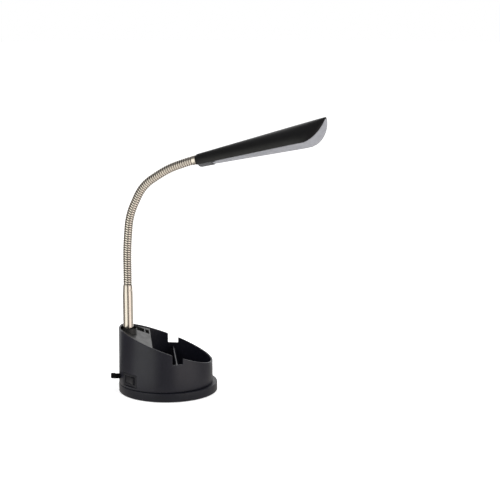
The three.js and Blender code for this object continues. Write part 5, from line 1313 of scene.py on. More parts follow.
@dataclass
class PenCup:
    """Cup that is cut on the slant, with two notches, the divider's guides and the switch's pocket."""

    edge: float = 0.0006  # Radius of the rim's edges
    notch: Pair = (0.00535, 0.01785)  # Places along X of the notches' sides, from the cup's axis
    notch_floor: float = 0.0451  # Level of the notches' floors
    notch_radii: Pair = (0.0011, 0.0013)  # Radii of the notches' upper and lower corners
    flat_end: float = -0.053475  # Place along X where the rim turns level, from the cup's axis
    foot_edge: float = 0.0006  # Radius of the edge round the foot
    floor_fillet: float = 0.0015  # Radius between the wall and the floor inside
    step: float = 0.0011  # Distance between columns along the rim
    guide_middles: Pair = (0.0098, 0.0134)  # Places along X of the guides' middles
    guide_size: Pair = (0.0014, 0.0024)  # Width of a guide and its reach from the wall
    guide_top: float = 0.0371  # Level of the guides' tops
    peg_reach: float = 0.044  # Distance of the pegs from the cup's axis
    board_middle: Pair = (-0.0345, 0.0125)  # Place between the posts of the driver board
    board_reach: Pair = (0.0069, 0.0134)  # Distance of each post from there
    # Heights of the wall's rows, as shares of the way from the foot to the rim
    lifts: tuple[float, ...] = (0.0, 0.15, 0.3, 0.45, 0.6, 0.75, 0.87, 0.94, 0.98)

    def build(self) -> None:
        """Makes the cup's wall and floor, with its openings, and the fittings inside."""
        cup = raw_object("pen_cup", self.wall())
        carve(cup, self.openings())
        finish_object(cup, BLACK, ("holder_cup",))
        make("pen_cup_fittings", BLACK, (), *self.guides(), *self.pegs(), *self.board_posts())

    def level_on_rim(self, arc: Array) -> Array:
        """Returns the rim's level at an arc from the low side, without the notches."""
        x = PLAN.cup_radius * np.cos(arc / PLAN.cup_radius)
        return np.minimum(PLAN.rim_at(x), PLAN.rim_flat)

    def rim_run(self, start: float, end: float) -> list[Pair]:
        """Returns the rim's (arc, level) points from one arc to another, about 3 mm apart."""
        arcs = np.linspace(start, end, max(2, round((end - start) / 0.003)))
        return list(zip(arcs.tolist(), self.level_on_rim(arcs).tolist()))

    def rim_line(self) -> tuple[Array, Array]:
        """Unrolls half of the rim.

        Returns:
            Its (arc, level) points, and their arcs spread along the foot below it.
        """
        radius = PLAN.cup_radius
        low_side = radius * acos(self.notch[1] / radius)
        high_side = radius * acos(self.notch[0] / radius)
        level_start = radius * acos(self.flat_end / radius)
        half_round = pi * radius
        upper, lower = self.notch_radii
        margin = 2.2 * upper
        first = self.rim_run(0, low_side - margin)
        second = self.rim_run(high_side + margin, level_start - 0.005)
        third = self.rim_run(level_start + 0.005, half_round)
        corners = [(low_side, float(self.level_on_rim(low_side))), (low_side, self.notch_floor),
                   (high_side, self.notch_floor), (high_side, float(self.level_on_rim(high_side)))]
        points = [*first, *corners, *second, (level_start, PLAN.rim_flat), *third]
        radii = [*[0.0] * len(first), upper, lower, lower, upper, *[0.0] * len(second), 0.0025,
                 *[0.0] * len(third)]
        line = densified(rounded(points, radii, 5), self.step)
        length = run_along(line)
        near = [length[np.argmin(np.hypot(line[:, 0] - side, line[:, 1] - self.notch_floor))]
                for side in (low_side, high_side)]
        return line, np.interp(length, [0, *near, length[-1]], [0, low_side, high_side, half_round])

    def wall(self) -> Shell:
        """Builds the cup as one closed grid: up the outside, over the rim, down the inside to the floor.

        Returns:
            The closed shell.
        """
        line, spread = self.rim_line()
        tangent = np.gradient(line, axis=0)
        tangent[[0, -1], 1] = 0.0
        tangent /= norm(tangent, axis=1, keepdims=True)
        into = joined(tangent[:, 1], -tangent[:, 0])
        edge, thickness = self.edge, PLAN.cup_wall
        foot = joined(spread, np.full(len(spread), PLAN.cup_foot + self.foot_edge))
        floor = joined(spread, np.full(len(spread), PLAN.cup_floor + self.floor_fillet))
        angles = quarter(5)
        rows = self.foot_rows(spread, angles)
        top = line + edge * into
        rows += [self.on_wall(foot + share * (top - foot), 0.0) for share in self.lifts]
        rims = [(line + edge * (1 - sin(angle)) * into, edge * (1 - cos(angle))) for angle in angles]
        rows += [self.on_wall(rim, fall) for rim, fall in rims]
        rows += [self.on_wall(rim, thickness - fall) for rim, fall in rims[::-1]]
        rows += [self.on_wall(floor + share * (top - floor), thickness) for share in self.lifts[::-1]]
        rows += self.floor_rows(spread, angles)
        half = np.stack(rows)
        whole = np.concatenate([half, half[:, -2:0:-1] * (1.0, -1.0, 1.0)], axis=1)
        return skin(whole + (PLAN.cup_axis, 0.0, 0.0))

    def on_wall(self, unrolled: Array, depth: float) -> Array:
        """Rolls (arc, level) points onto the wall at a depth; near the notches a point keeps its x.

        Args:
            unrolled: Points of shape (n, 2).
            depth: Depth into the wall.

        Returns:
            Points round the cup's axis.
        """
        angle = unrolled[:, 0] / PLAN.cup_radius
        outside = PLAN.wall_radius(unrolled[:, 1], 0.0)
        radius = PLAN.wall_radius(unrolled[:, 1], depth)
        x = outside * np.cos(angle)
        kept = np.arccos(np.clip(x / radius, -1.0, 1.0))
        weight = 1 - ramp(np.abs(x - sum(self.notch) / 2), 0.012, 0.026)
        return polar(radius, weight * kept + (1 - weight) * angle, unrolled[:, 1])

    def ring(self, spread: Array, radius: float, level: float) -> Array:
        """Returns half a level ring below or inside the wall."""
        return polar(radius, spread / PLAN.cup_radius, level)

    def foot_rows(self, spread: Array, angles: Array) -> list[Array]:
        """Runs from the middle of the underside to the wall's foot.

        Args:
            spread: Arcs of the columns.
            angles: Angles of the rounded edge's steps.

        Returns:
            The rows.
        """
        radius, level, edge = PLAN.cup_radius, PLAN.cup_foot, self.foot_edge
        rows = [self.ring(spread, part, level) for part in (0.0, 0.02, 0.04, 0.052)]
        return rows + [self.ring(spread, radius - edge * (1 - sin(angle)), level + edge * (1 - cos(angle)))
                       for angle in angles[:-1]]

    def floor_rows(self, spread: Array, angles: Array) -> list[Array]:
        """Runs from the wall's foot inside to the middle of the floor.

        Args:
            spread: Arcs of the columns.
            angles: Angles of the fillet's steps.

        Returns:
            The rows.
        """
        level, fillet = PLAN.cup_floor, self.floor_fillet
        radius = PLAN.cup_radius - PLAN.cup_wall
        rows = [self.ring(spread, radius - fillet * (1 - cos(angle)), level + fillet * (1 - sin(angle)))
                for angle in angles[1:]]
        return rows + [self.ring(spread, part, level) for part in (0.045, 0.03, 0.015, 0.0)]

    def openings(self) -> list[tuple[Cut, Piece]]:
        """Makes the tools of the wall: the bezel's frame, its pocket and window, and the boot's hole.

        Returns:
            What each tool does, and the tool.
        """
        tools = []
        for how, depth, across, up in (
            (Cut.ADD, (0.0506, 0.054), 0.0122, 0.0079),
            (Cut.AWAY, (0.054, 0.059), 0.01255, 0.008),
            (Cut.AWAY, (0.049, 0.059), 0.0103, 0.006),
        ):
            outline = rectangle((-across, across), (-up, up))
            tools.append((how, raw_object("tool", PLAN.at_switch(facing(prism(outline, *depth))))))
        hole = turned(rod(0.0032, -0.062, -0.05), 48, (0.0, *PLAN.cord_place), Axis.ALONG)
        return [*tools, (Cut.AWAY, raw_object("tool", hole))]

    def guides(self) -> list[Shell]:
        """Makes the guides that hold the divider's ends.

        Returns:
            The four guides.
        """
        shells = []
        width, reach = self.guide_size
        radius = float(PLAN.wall_radius(self.notch_floor, PLAN.cup_wall))
        for x in self.guide_middles:
            wall = sqrt(radius**2 - x**2)
            place = PLAN.cup_axis + x
            for side in (1, -1):
                ends = sorted((side * (wall - reach), side * (wall + 0.001)))
                outline = box_outline((place - width / 2, place + width / 2), ends, 0.0003)
                shells.append(padded_slab(outline, PLAN.cup_floor - 0.001, self.guide_top, 0.0003))
        return shells

    def pegs(self) -> list[Shell]:
        """Turns the pegs that take the case screws, each with its blind hole.

        Returns:
            The four pegs.
        """
        bore, radius, foot, end, top = 0.0018, 0.0036, 0.0048, 0.0115, 0.0124
        line = np.array([(bore, foot), (radius, foot), (radius, top), (0, top), (0, end), (bore, end),
                         (bore, foot)])
        places = [pi / 4 + i * pi / 2 for i in range(4)]
        return [turned(line, 24, (PLAN.cup_axis + self.peg_reach * cos(a), self.peg_reach * sin(a), 0))
                for a in places]

    def board_posts(self) -> list[Shell]:
        """Returns the two posts that carry the driver board."""
        foot, floor, top, bore, radius = 0.0124, 0.0135, 0.0195, 0.0015, 0.003
        line = np.array([(0, foot), (radius, foot), (radius, top), (bore, top), (bore, floor), (0, floor)])
        (x, y), (across, along) = self.board_middle, self.board_reach
        return [turned(line, 24, (x + side * across, y + side * along, 0)) for side in (-1, 1)]


@dataclass
class Divider:
    """Plate across the cup, under the notches."""

    x: Pair = (0.0108, 0.0124)  # Places of its faces, from the cup's axis
    z: Pair = (0.0138, 0.0411)  # Levels of its lower and upper edge

    def build(self) -> None:
        """Makes the plate with rounded edges; its ends follow the wall's draft."""
        middle = sum(self.x) / 2
        ends = []
        for level in self.z:
            radius = float(PLAN.wall_radius(level, PLAN.cup_wall + PLAN.gap))
            ends.append(sqrt(radius**2 - middle**2) - 0.0001)
        corners = [(-ends[0], self.z[0]), (ends[0], self.z[0]), (ends[1], self.z[1]), (-ends[1], self.z[1])]
        outline = densified(rounded(corners, [0.001] * 4, 4, closed=True), 0.006)
        low, high = (PLAN.cup_axis + part for part in self.x)
        make("divider", BLACK, ("cup_divider",), facing(padded_slab(outline, low, high, 0.00045)))


@dataclass
class Deck:
    """Slanted deck over the workings: partition, boss for the post, a deep and a shallow slot."""

    recess: float = 0.001  # How far the deck lies below the rim
    thickness: float = 0.0022  # Thickness of the deck
    free_edge: float = -0.0177  # Place along X of the free edge, from the cup's axis
    partition: float = 0.0014  # Thickness of the partition below the free edge
    boss_radius: float = 0.0105  # Radius of the boss
    boss_foot: float = 0.0618  # Level of the boss' underside
    post_seat: float = 0.0668  # Level that the post stands on
    bore_radii: Pair = (0.00645, 0.0049)  # Radii of the post's seat and of the nipple's bore
    slot_side: Pair = (0.0205, 0.03915)  # Places along Y of both slots' ends
    deep: Pair = (-0.0341, -0.0249)  # Places along X of the deep slot's sides, from the cup's axis
    shallow: Pair = (-0.0237, -0.0191)  # Places along X of the shallow slot's sides
    deep_depth: float = 0.026  # Depth of the deep slot below the deck at its low side
    shallow_depth: float = 0.003  # Depth of the shallow slot, measured the same way
    wall: float = 0.0012  # Thickness of the slots' walls
    floor: float = 0.0014  # Thickness of the slots' floors
    bevel: float = 0.00035  # Width of the bevels

    def build(self) -> None:
        """Makes the deck from solids that are joined, cut and trimmed."""
        deck = self.tool(self.slab(), "deck")
        added = (self.partition_wall(), self.boss(), *self.slot_boxes())
        tools = [(Cut.ADD, self.tool(shell)) for shell in added]
        tools += [(Cut.AWAY, self.tool(shell)) for shell in (*self.bores(), *self.slots())]
        tools.append((Cut.KEEP, self.tool(self.room())))
        carve(deck, tools, self.bevel)
        finish_object(deck, DECK, ("post_deck",))

    def tool(self, shell: Shell, name: str = "tool") -> Piece:
        """Makes an object from a shell that was drawn from the cup's axis."""
        return raw_object(name, moved(shell, 0.0, (PLAN.cup_axis, 0.0, 0.0)))

    def top_at(self, x: float) -> float:
        """Returns the deck's top level at a distance from the cup's axis."""
        return PLAN.rim_at(x) - self.recess

    def slab(self) -> Shell:
        """Slanted slab, as wide as the cup."""
        reach, edge = PLAN.cup_radius, self.free_edge
        tops = self.top_at(-reach), self.top_at(edge)
        outline = [(-reach, tops[0] - self.thickness), (edge, tops[1] - self.thickness), (edge, tops[1]),
                   (-reach, tops[0])]
        return upright_prism(outline, (-reach, reach))

    def partition_wall(self) -> Shell:
        """Wall from the cup's floor up to the free edge."""
        reach, edge = PLAN.cup_radius, self.free_edge
        inner, foot = edge - self.partition, PLAN.cup_floor + PLAN.gap
        outline = [(inner, foot), (edge, foot), (edge, self.top_at(edge)), (inner, self.top_at(inner))]
        return upright_prism(outline, (-reach, reach))

    def boss(self) -> Shell:
        """Round boss for the post."""
        line = rod(self.boss_radius, self.boss_foot, PLAN.rim_flat)
        return turned(line, 80, (-PLAN.post_offset, 0, 0))

    def slot_boxes(self) -> list[Shell]:
        """Makes the slots' walls and floors, which stop inside the deck's thickness.

        Returns:
            Two closed shells.
        """
        y = (self.slot_side[0] - self.wall, self.slot_side[1] + self.wall)
        floors = self.slot_floors()
        shells = []
        for x, floor in (((self.deep[0] - self.wall, self.deep[1] + self.wall), floors[0]),
                         ((self.shallow[0] - self.wall, self.shallow[1] + self.partition / 2), floors[1])):
            level = floor - self.floor
            tops = [self.top_at(part) - self.thickness / 2 for part in x]
            shells.append(upright_prism([(x[0], level), (x[1], level), (x[1], tops[1]), (x[0], tops[0])], y))
        return shells

    def slot_floors(self) -> Pair:
        """Returns the levels of the deep and the shallow slot's floors."""
        deep, shallow = (self.top_at(x[1]) for x in (self.deep, self.shallow))
        return deep - self.deep_depth, shallow - self.shallow_depth

    def slots(self) -> list[Shell]:
        """Insides of the two slots."""
        return [prism(rectangle(x, self.slot_side), floor, PLAN.rim_flat)
                for x, floor in zip((self.deep, self.shallow), self.slot_floors())]

    def bores(self) -> list[Shell]:
        """Seat of the post and the nipple's bore below it."""
        seat, over = self.post_seat, PLAN.rim_flat + 0.002
        place = (-PLAN.post_offset, 0, 0)
        wide, narrow = self.bore_radii
        profiles = rod(wide, seat, over), rod(narrow, self.boss_foot - 0.002, seat + 0.002)
        return [turned(profile, 64, place) for profile in profiles]

    def room(self) -> Shell:
        """Room inside the cup's wall."""
        depth = PLAN.cup_wall + PLAN.gap
        low, high = PLAN.cup_floor, PLAN.rim_flat
        radii = [float(PLAN.wall_radius(level, depth)) for level in (low, high)]
        return turned(np.array([(0, low), (radii[0], low), (radii[1], high), (0, high)]), 160)


# Post and gooseneck


@dataclass
class Post:
    """Straight tube with a drawn-in tip and three crimp marks."""

    bore: float = 0.0049  # Radius inside
    radius: float = 0.00615  # Radius outside
    tip_radius: float = 0.0056  # Radius at the tip
    foot: float = 0.0671  # Level of the foot
    taper: float = 0.1195  # Level where the taper starts
    top: float = 0.1315  # Level of the tip
    mark_level: float = 0.1258  # Level of the crimp marks
    mark_angles: tuple[float, ...] = (-55.0, 65.0, 185.0)  # Directions of the crimp marks, degrees
    mark_radius: float = 0.0014  # Radius of a mark
    mark_depth: float = 0.0005  # Depth of a mark

    def build(self) -> None:
        """Makes the tube: the marks sink it by depth (1 - (distance / radius)^2)^2."""
        corners = [(self.bore, self.foot), (self.radius, self.foot), (self.radius, self.taper),
                   (self.tip_radius, self.top), (self.bore, self.top), (self.bore, self.foot)]
        line = densified(rounded(corners, [0, 0.0004, 0.004, 0.0004, 0.0003, 0]), 0.0004)
        sides = 112
        angle = circle(sides)[None, :]
        radius = np.repeat(line[:, :1], sides, axis=1)
        outside = line[:, :1] > self.bore + 0.0002
        for degrees in self.mark_angles:
            turn = (angle - radians(degrees) + pi) % TURN - pi
            away = np.hypot(turn * self.tip_radius, line[:, 1:] - self.mark_level) / self.mark_radius
            radius = radius - outside * self.mark_depth * np.clip(1 - away**2, 0.0, 1.0) ** 2
        grid = polar(radius, angle, line[:, 1:]) + (PLAN.cup_axis - PLAN.post_offset, 0.0, 0.0)
        make("post", NICKEL, ("post_tube",), skin(grid))


@dataclass(frozen=True)
class NeckLine:
    """Line of the gooseneck: straight runs and arcs in one upright plane through the post."""

    foot: float = 0.1318  # Level where the line starts
    yaw: float = -21.6  # Turn of the plane about the post, degrees
    # Length and turn in degrees of each run; past the last the line is straight
    runs: tuple[Pair, ...] = (
        (0.0303, 0.0), (0.0294, 4.9), (0.0106, 0.0), (0.0294, 20.1), (0.0106, 0.0), (0.0294, 31.5),
        (0.0106, 0.0), (0.0264, 13.3), (0.0106, 0.0), (0.0076, 5.8),
    )

    def at(self, distance: Array) -> tuple[Array, Array]:
        """Follows the line.

        On an arc of curvature k the chord after a length s is s sin(k s / 2) / (k s / 2), and it leans
        half of the arc's turn further than the arc's start.

        Args:
            distance: Distances along the line.

        Returns:
            Places, and leans in radians.
        """
        lengths = np.array([run[0] for run in self.runs] + [1.0])
        turns = np.radians([run[1] for run in self.runs] + [0.0])
        starts = np.concatenate([[0.0], np.cumsum(lengths)[:-1]])
        leans = np.concatenate([[0.0], np.cumsum(turns)[:-1]])
        chords = lengths * np.sinc(turns / TURN)
        step_x = chords * np.sin(leans + turns / 2)
        step_z = chords * np.cos(leans + turns / 2)
        x0 = np.concatenate([[0.0], np.cumsum(step_x)[:-1]])
        z0 = np.concatenate([[0.0], np.cumsum(step_z)[:-1]])
        index = np.clip(np.searchsorted(starts, distance, side="right") - 1, 0, len(starts) - 1)
        along = distance - starts[index]
        turn = (turns / lengths)[index] * along
        chord = along * np.sinc(turn / TURN)
        x = x0[index] + chord * np.sin(leans[index] + turn / 2)
        z = z0[index] + chord * np.cos(leans[index] + turn / 2)
        flat = joined(x, np.zeros_like(x), z + self.foot)
        place = turned_about(flat, radians(self.yaw), (PLAN.cup_axis - PLAN.post_offset, 0.0, 0.0))
        return place, leans[index] + turn

    def across(self) -> Array:
        """Direction square to the line's plane."""
        yaw = radians(self.yaw)
        return np.array([-sin(yaw), cos(yaw), 0.0])

    def on_line(self, points: Array, distance: float, roll: float) -> Array:
        """Places points that were drawn along +X on the line: rolled about X, leaned over, turned and moved.

        Args:
            points: Points of shape (..., 3).
            distance: Distance along the line of their origin.
            roll: Turn about the line, degrees.

        Returns:
            Points in the lamp's frame.
        """
        place, lean = self.at(np.array([distance]))
        roll_angle, pitch = radians(roll), float(lean[0]) - pi / 2
        y = points[..., 1] * cos(roll_angle) - points[..., 2] * sin(roll_angle)
        z = points[..., 1] * sin(roll_angle) + points[..., 2] * cos(roll_angle)
        x = points[..., 0] * cos(pitch) + z * sin(pitch)
        z = z * cos(pitch) - points[..., 0] * sin(pitch)
        return turned_about(joined(x, y, z), radians(self.yaw), tuple(place[0]))


@dataclass
class Gooseneck:
    """Strip-wound hose, in lengths that each span one joint, and its ferrule."""

    line: NeckLine = NeckLine()  # Line of the neck
    peak: float = 0.0053  # Radius over the windings
    root: float = 0.0043  # Radius between them
    pitch: float = 0.0028  # Distance from winding to winding
    sides: int = 40  # Points round the hose
    # Distances of the joints along the line
    joints: tuple[float, ...] = (0.025, 0.065, 0.105, 0.145, 0.182)
    # Distances where one length ends and the next starts
    cuts: tuple[float, ...] = (0.0, 0.045, 0.085, 0.125, 0.1635, 0.1949)
    # Distance on either side of a joint
    reach: tuple[float, ...] = (0.0185, 0.0185, 0.0185, 0.018, 0.0122)
    ferrule_start: float = 0.1952  # Distance where the ferrule starts
    ferrule_size: Pair = (0.0056, 0.0052)  # Radius and length of the ferrule
    stub: Pair = (0.0027, 0.0137)  # Radius of its threaded stub, and the stub's end from the ferrule's start

    def build(self) -> None:
        """Makes the hose, one length to a joint, and the ferrule."""
        for i, joint in enumerate(self.joints):
            nodes = ("gooseneck_5", "gooseneck_6") if i == 4 else (f"gooseneck_{i + 1}",)
            piece = raw_object(f"hose_{i + 1}", self.length_of_hose(self.cuts[i], self.cuts[i + 1]))
            finish_object(piece, NICKEL_HOSE, nodes, None, sharp_degrees=75)
            # Writes the share of painted shade, with some grime, in the grooves
            self.paint_groove_shade(piece.data)
            ends, _ = self.line.at(np.array([joint - self.reach[i], joint + self.reach[i]]))
            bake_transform(piece)
        finish_object(raw_object("ferrule", self.ferrule()), NICKEL, ("neck_ferrule",), Body.HEAD)

    def length_of_hose(self, start: float, end: float) -> Shell:
        """Winds one length: the radius is root + (peak - root) sin(pi phase)^0.5, with a helix's phase.

        Args:
            start: Distance where it starts.
            end: Distance where it ends.

        Returns:
            The closed shell.
        """
        distance = np.linspace(start, end, int(round((end - start) / self.pitch * 11)) + 1)
        place, lean = self.line.at(distance)
        side = np.broadcast_to(self.line.across(), place.shape)
        phase = (distance[:, None] / self.pitch + circle(self.sides)[None, :] / TURN) % 1.0
        radius = self.root + (self.peak - self.root) * np.sin(pi * phase) ** 0.5
        yaw = radians(self.line.yaw)
        forward = joined(np.sin(lean) * cos(yaw), np.sin(lean) * sin(yaw), np.cos(lean))
        return tube(place, forward, side, radius, self.sides)

    def paint_groove_shade(self, mesh: Mesh) -> None:
        """Writes how deep each point lies, for the painted shade in the grooves: 2.2 (peak - radius) / (peak
        - root) - 0.35, from 0 to 1.

        The radius is the distance to the nearest of a row of places on the neck's line.
        """
        line, _ = self.line.at(np.linspace(0.0, self.cuts[-1], 1000))
        apart = norm(rows_of(mesh.vertices, "co")[:, None] - line[None], axis=-1).min(axis=1)
        write_share(mesh, GROOVE_SHADE_ATTRIBUTE, 2.2 * (self.peak - apart) / (self.peak - self.root) - 0.35)

    def ferrule(self) -> Shell:
        """Turns the smooth ferrule with its threaded stub, along the line."""
        (radius, length), (thin, end) = self.ferrule_size, self.stub
        corners = [(0, 0), (radius, 0), (radius, length), (thin, length), (thin, end), (0, end)]
        line = densified(rounded(corners, [0, 0.0006, 0.0006, 0, 0.0002, 0]), 0.0006)
        points, quads = turned(line, 64, axis=Axis.ALONG)
        return self.line.on_line(points, self.ferrule_start, 0.0), quads


# Lamp head


@dataclass
class LampHead:
    """Tapered half-round shell, its neck cover and the frosted underside, drawn along +X from the neck."""

    line: NeckLine = NeckLine()  # Line of the neck
    start: float = 0.2007  # Distance along the neck's line where the head starts
    roll: float = -13.2  # Turn about the head's own line, degrees
    length: float = 0.163  # Length of the head
    half_width: Pair = (0.0076, 0.0275)  # Half width at the neck and, without the round end, at the tip
    top: Pair = (0.0064, 0.0153)  # Height of the top over the head's line at the neck and at the tip
    depth: Pair = (0.0069, 0.0121)  # Depth of the rim below the head's line at the neck and at the tip
    round_length: float = 0.044  # Length of the round end, seen from above
    sweep_length: float = 0.027  # Length over which the rim sweeps up to the tip
    sweep_power: float = 1.6  # Power of that sweep
    wall: float = 0.0018  # Thickness of the shell
    end_wall: float = 0.0024  # Thickness of the wall at the neck
    end_round: float = 0.003  # Length of the rounded neck end
    end_share: float = 0.8  # Size of the end face against the full section
    gap: float = 0.0003  # Clearance round the sheets
    cover: Pair = (0.0027, 0.0197)  # Start and end of the neck cover
    diffuser_start: float = 0.0204  # Start of the diffuser
    bulge: float = 0.0026  # How far the diffuser bulges
    cover_bulge: float = 0.0022  # How far the neck cover bulges
    sheet_walls: Pair = (0.0016, 0.0015)  # Thickness of the neck cover and of the diffuser
    notch: Pair = (0.0045, 0.0016)  # Length and width of the notches at the diffuser's corners

    def build(self) -> None:
        """Makes the shell, the neck cover and the diffuser."""
        for name, shell, finish, node in (
            ("head_shell_dressed", self.shell(), SHELL_BLACK, "head_shell"),
            ("head_neck_cover", self.neck_cover(), GREY, "head_cover"),
            ("head_diffuser", self.diffuser(), FROST, "diffuser"),
        ):
            piece = raw_object(name, (self.line.on_line(shell[0], self.start, self.roll), shell[1]))
            finish_object(piece, finish, (node,), Body.HEAD)

    def between(self, ends: Pair, x: Array) -> Array:
        """Returns a size that runs evenly from the neck to the tip."""
        return ends[0] + (ends[1] - ends[0]) * x / self.length

    def half_width_at(self, x: Array) -> Array:
        """Half width at x: even, then times sqrt(1 - share^2) over the round end."""
        share = np.clip((x - self.length + self.round_length) / self.round_length, 0.0, 1.0)
        return self.between(self.half_width, x) * np.sqrt(1 - share**2)

    def top_at(self, x: Array) -> Array:
        """Height of the top at x."""
        return self.between(self.top, x)

    def rim_at(self, x: Array) -> Array:
        """Level of the rim at x: it rises from the even rim to the top by 1 - (1 - share^p)^(1/p)."""
        plain = -self.between(self.depth, x)
        share = np.clip((x - self.length + self.sweep_length) / self.sweep_length, 0.0, 1.0)
        rise = 1 - (1 - share**self.sweep_power) ** (1 / self.sweep_power)
        return plain + (self.top_at(x) - plain) * rise

    def stations(self, start: float, end: float) -> Array:
        """Spaces places along the head evenly to the round end, then closer towards the tip.

        Args:
            start: First place.
            end: Last place.

        Returns:
            The places.
        """
        turn = self.length - self.round_length
        share = np.sin(quarter(56))
        return np.concatenate([np.linspace(start, turn, 44)[:-1], turn + (end - turn) * share])

    def shell(self) -> Shell:
        """Builds the shell as one closed grid: over the arch outside, round the rims, back under it inside.

        Over the end wall and near the tip, where there is no room inside, the inner arch lies on the
        line between the rims.

        Returns:
            The closed shell.
        """
        end_round, tip = self.end_round, self.length - 0.00002
        first = end_round * (1 - np.cos(quarter(9)))
        walls = [self.end_wall, self.end_wall + 0.00001]
        x = np.unique(np.concatenate([first, walls, self.stations(end_round, tip)]))
        along = np.clip(x / end_round, 0.0, 1.0)
        share = self.end_share + (1 - self.end_share) * np.sqrt(1 - (1 - along) ** 2)
        half, top, rim = self.half_width_at(x) * share, self.top_at(x) * share, self.rim_at(x) * share
        land = np.minimum(0.0005, (top - rim) * 0.2)
        arch = np.linspace(0.0, pi, 65)[None, :]
        outer_y = half[:, None] * np.cos(arch)
        outer_z = (rim + land)[:, None] + (top - rim - land)[:, None] * np.sin(arch)
        edge = np.minimum(land * 0.8, half * 0.2)
        inner_half = self.inner_half_width(x) * share
        roof = top - self.wall
        room = np.clip((roof - rim) / 0.0006, 0.0, 1.0) * (x > self.end_wall)
        rise = np.maximum(roof - rim, 0.0) * room
        inner_y = -inner_half[:, None] * np.cos(arch)
        inner_z = (rim + edge * 0.3)[:, None] + rise[:, None] * np.sin(arch)
        lip = [(-half + edge * 0.05, rim + edge * 0.6), (-half + edge * 0.35, rim + edge * 0.15),
               (-half + edge, rim), (-inner_half - edge * 0.4, rim)]
        lips_left = np.stack([joined(*pair) for pair in lip], axis=1)
        lips_right = lips_left[:, ::-1] * (-1.0, 1.0)
        arches = joined(outer_y, outer_z), joined(inner_y, inner_z)
        section = np.concatenate([arches[0], lips_left, arches[1], lips_right], axis=1)
        along = np.broadcast_to(x[:, None, None], section.shape[:2] + (1,))
        return capped(np.concatenate([along, section], axis=-1))

    def inner_half_width(self, x: Array) -> Array:
        """Half width inside the shell: less one wall, or scaled past the start of the round end."""
        turn = self.length - self.round_length
        share = 1 - self.wall / float(self.half_width_at(np.array(turn)))
        return np.where(x > turn, self.half_width_at(x) * share, self.half_width_at(x) - self.wall)

    def sheet(self, x: Array, belly: Array, wall: float, notch: bool) -> Shell:
        """Builds a sheet across the rim at places x: it bulges by belly (1 - share^2), square to the rim.

        Args:
            x: Places along the head.
            belly: Depth of the bulge at each place.
            wall: Thickness of the sheet.
            notch: Whether the corners at its start are cut back.

        Returns:
            A closed shell with rounded long edges.
        """
        columns = 49
        share = np.sin(np.linspace(-pi / 2, pi / 2, columns))[None, :]
        half = (self.inner_half_width(x) - self.gap)[:, None]
        place = np.repeat(x[:, None], columns, axis=1)
        if notch:
            cut = (half * (1 - np.abs(share)) < self.notch[1]) * self.notch[0]
            place = np.maximum(place, x[0] + cut)
            half = self.inner_half_width(place) - self.gap
        step = 0.00003
        slope = (self.rim_at(place + step) - self.rim_at(place - step)) / (2 * step)
        scale = np.sqrt(1 + slope**2)
        away = half * (1 - np.abs(share))
        edge = 0.0006
        corner = edge * fall_off(1 - away / edge)
        fade = np.minimum(1.0, (place - x[0] - (place[:1] - x[0])) / edge)
        start = edge * 0.6 * fall_off(1 - fade)
        proud = 0.0004
        out = belly[:, None] * (1 - share**2) + proud - corner - start
        back = belly[:, None] * (1 - share**2) - wall
        rim = self.rim_at(place)
        front, rear = (joined(place + slope / scale * depth, share * half, rim - depth / scale)
                       for depth in (out, back))
        return capped(np.concatenate([front, rear[:, ::-1]], axis=1))

    def neck_cover(self) -> Shell:
        """Sheet under the neck end, with a round belly."""
        x = np.unique(np.concatenate([self.cover[0] + SHEET_STEPS, np.linspace(*self.cover, 28)]))
        belly = self.cover_bulge * np.sqrt(np.minimum(1.0, x / 0.0052))
        return self.sheet(x, belly, self.sheet_walls[0], notch=False)

    def diffuser(self) -> Shell:
        """Makes the frosted sheet, which ends where the rim meets the shell's roof.

        Returns:
            The closed shell.
        """
        tries = np.linspace(self.length - self.sweep_length, self.length, 4000)
        room = self.top_at(tries) - self.wall - self.gap - 0.00075 - self.rim_at(tries)
        end = float(tries[np.argmax(room < 0)])
        steps = self.diffuser_start + SHEET_STEPS
        notch_steps = np.linspace(self.diffuser_start, self.diffuser_start + self.notch[0] + 0.0012, 12)
        x = np.unique(np.concatenate([steps, notch_steps, self.stations(self.diffuser_start, end)]))
        turn = self.length - self.round_length
        belly = self.bulge * self.half_width_at(x) / float(self.half_width_at(np.array(turn)))
        return self.sheet(x, belly, self.sheet_walls[1], notch=True)


# Switch and boot


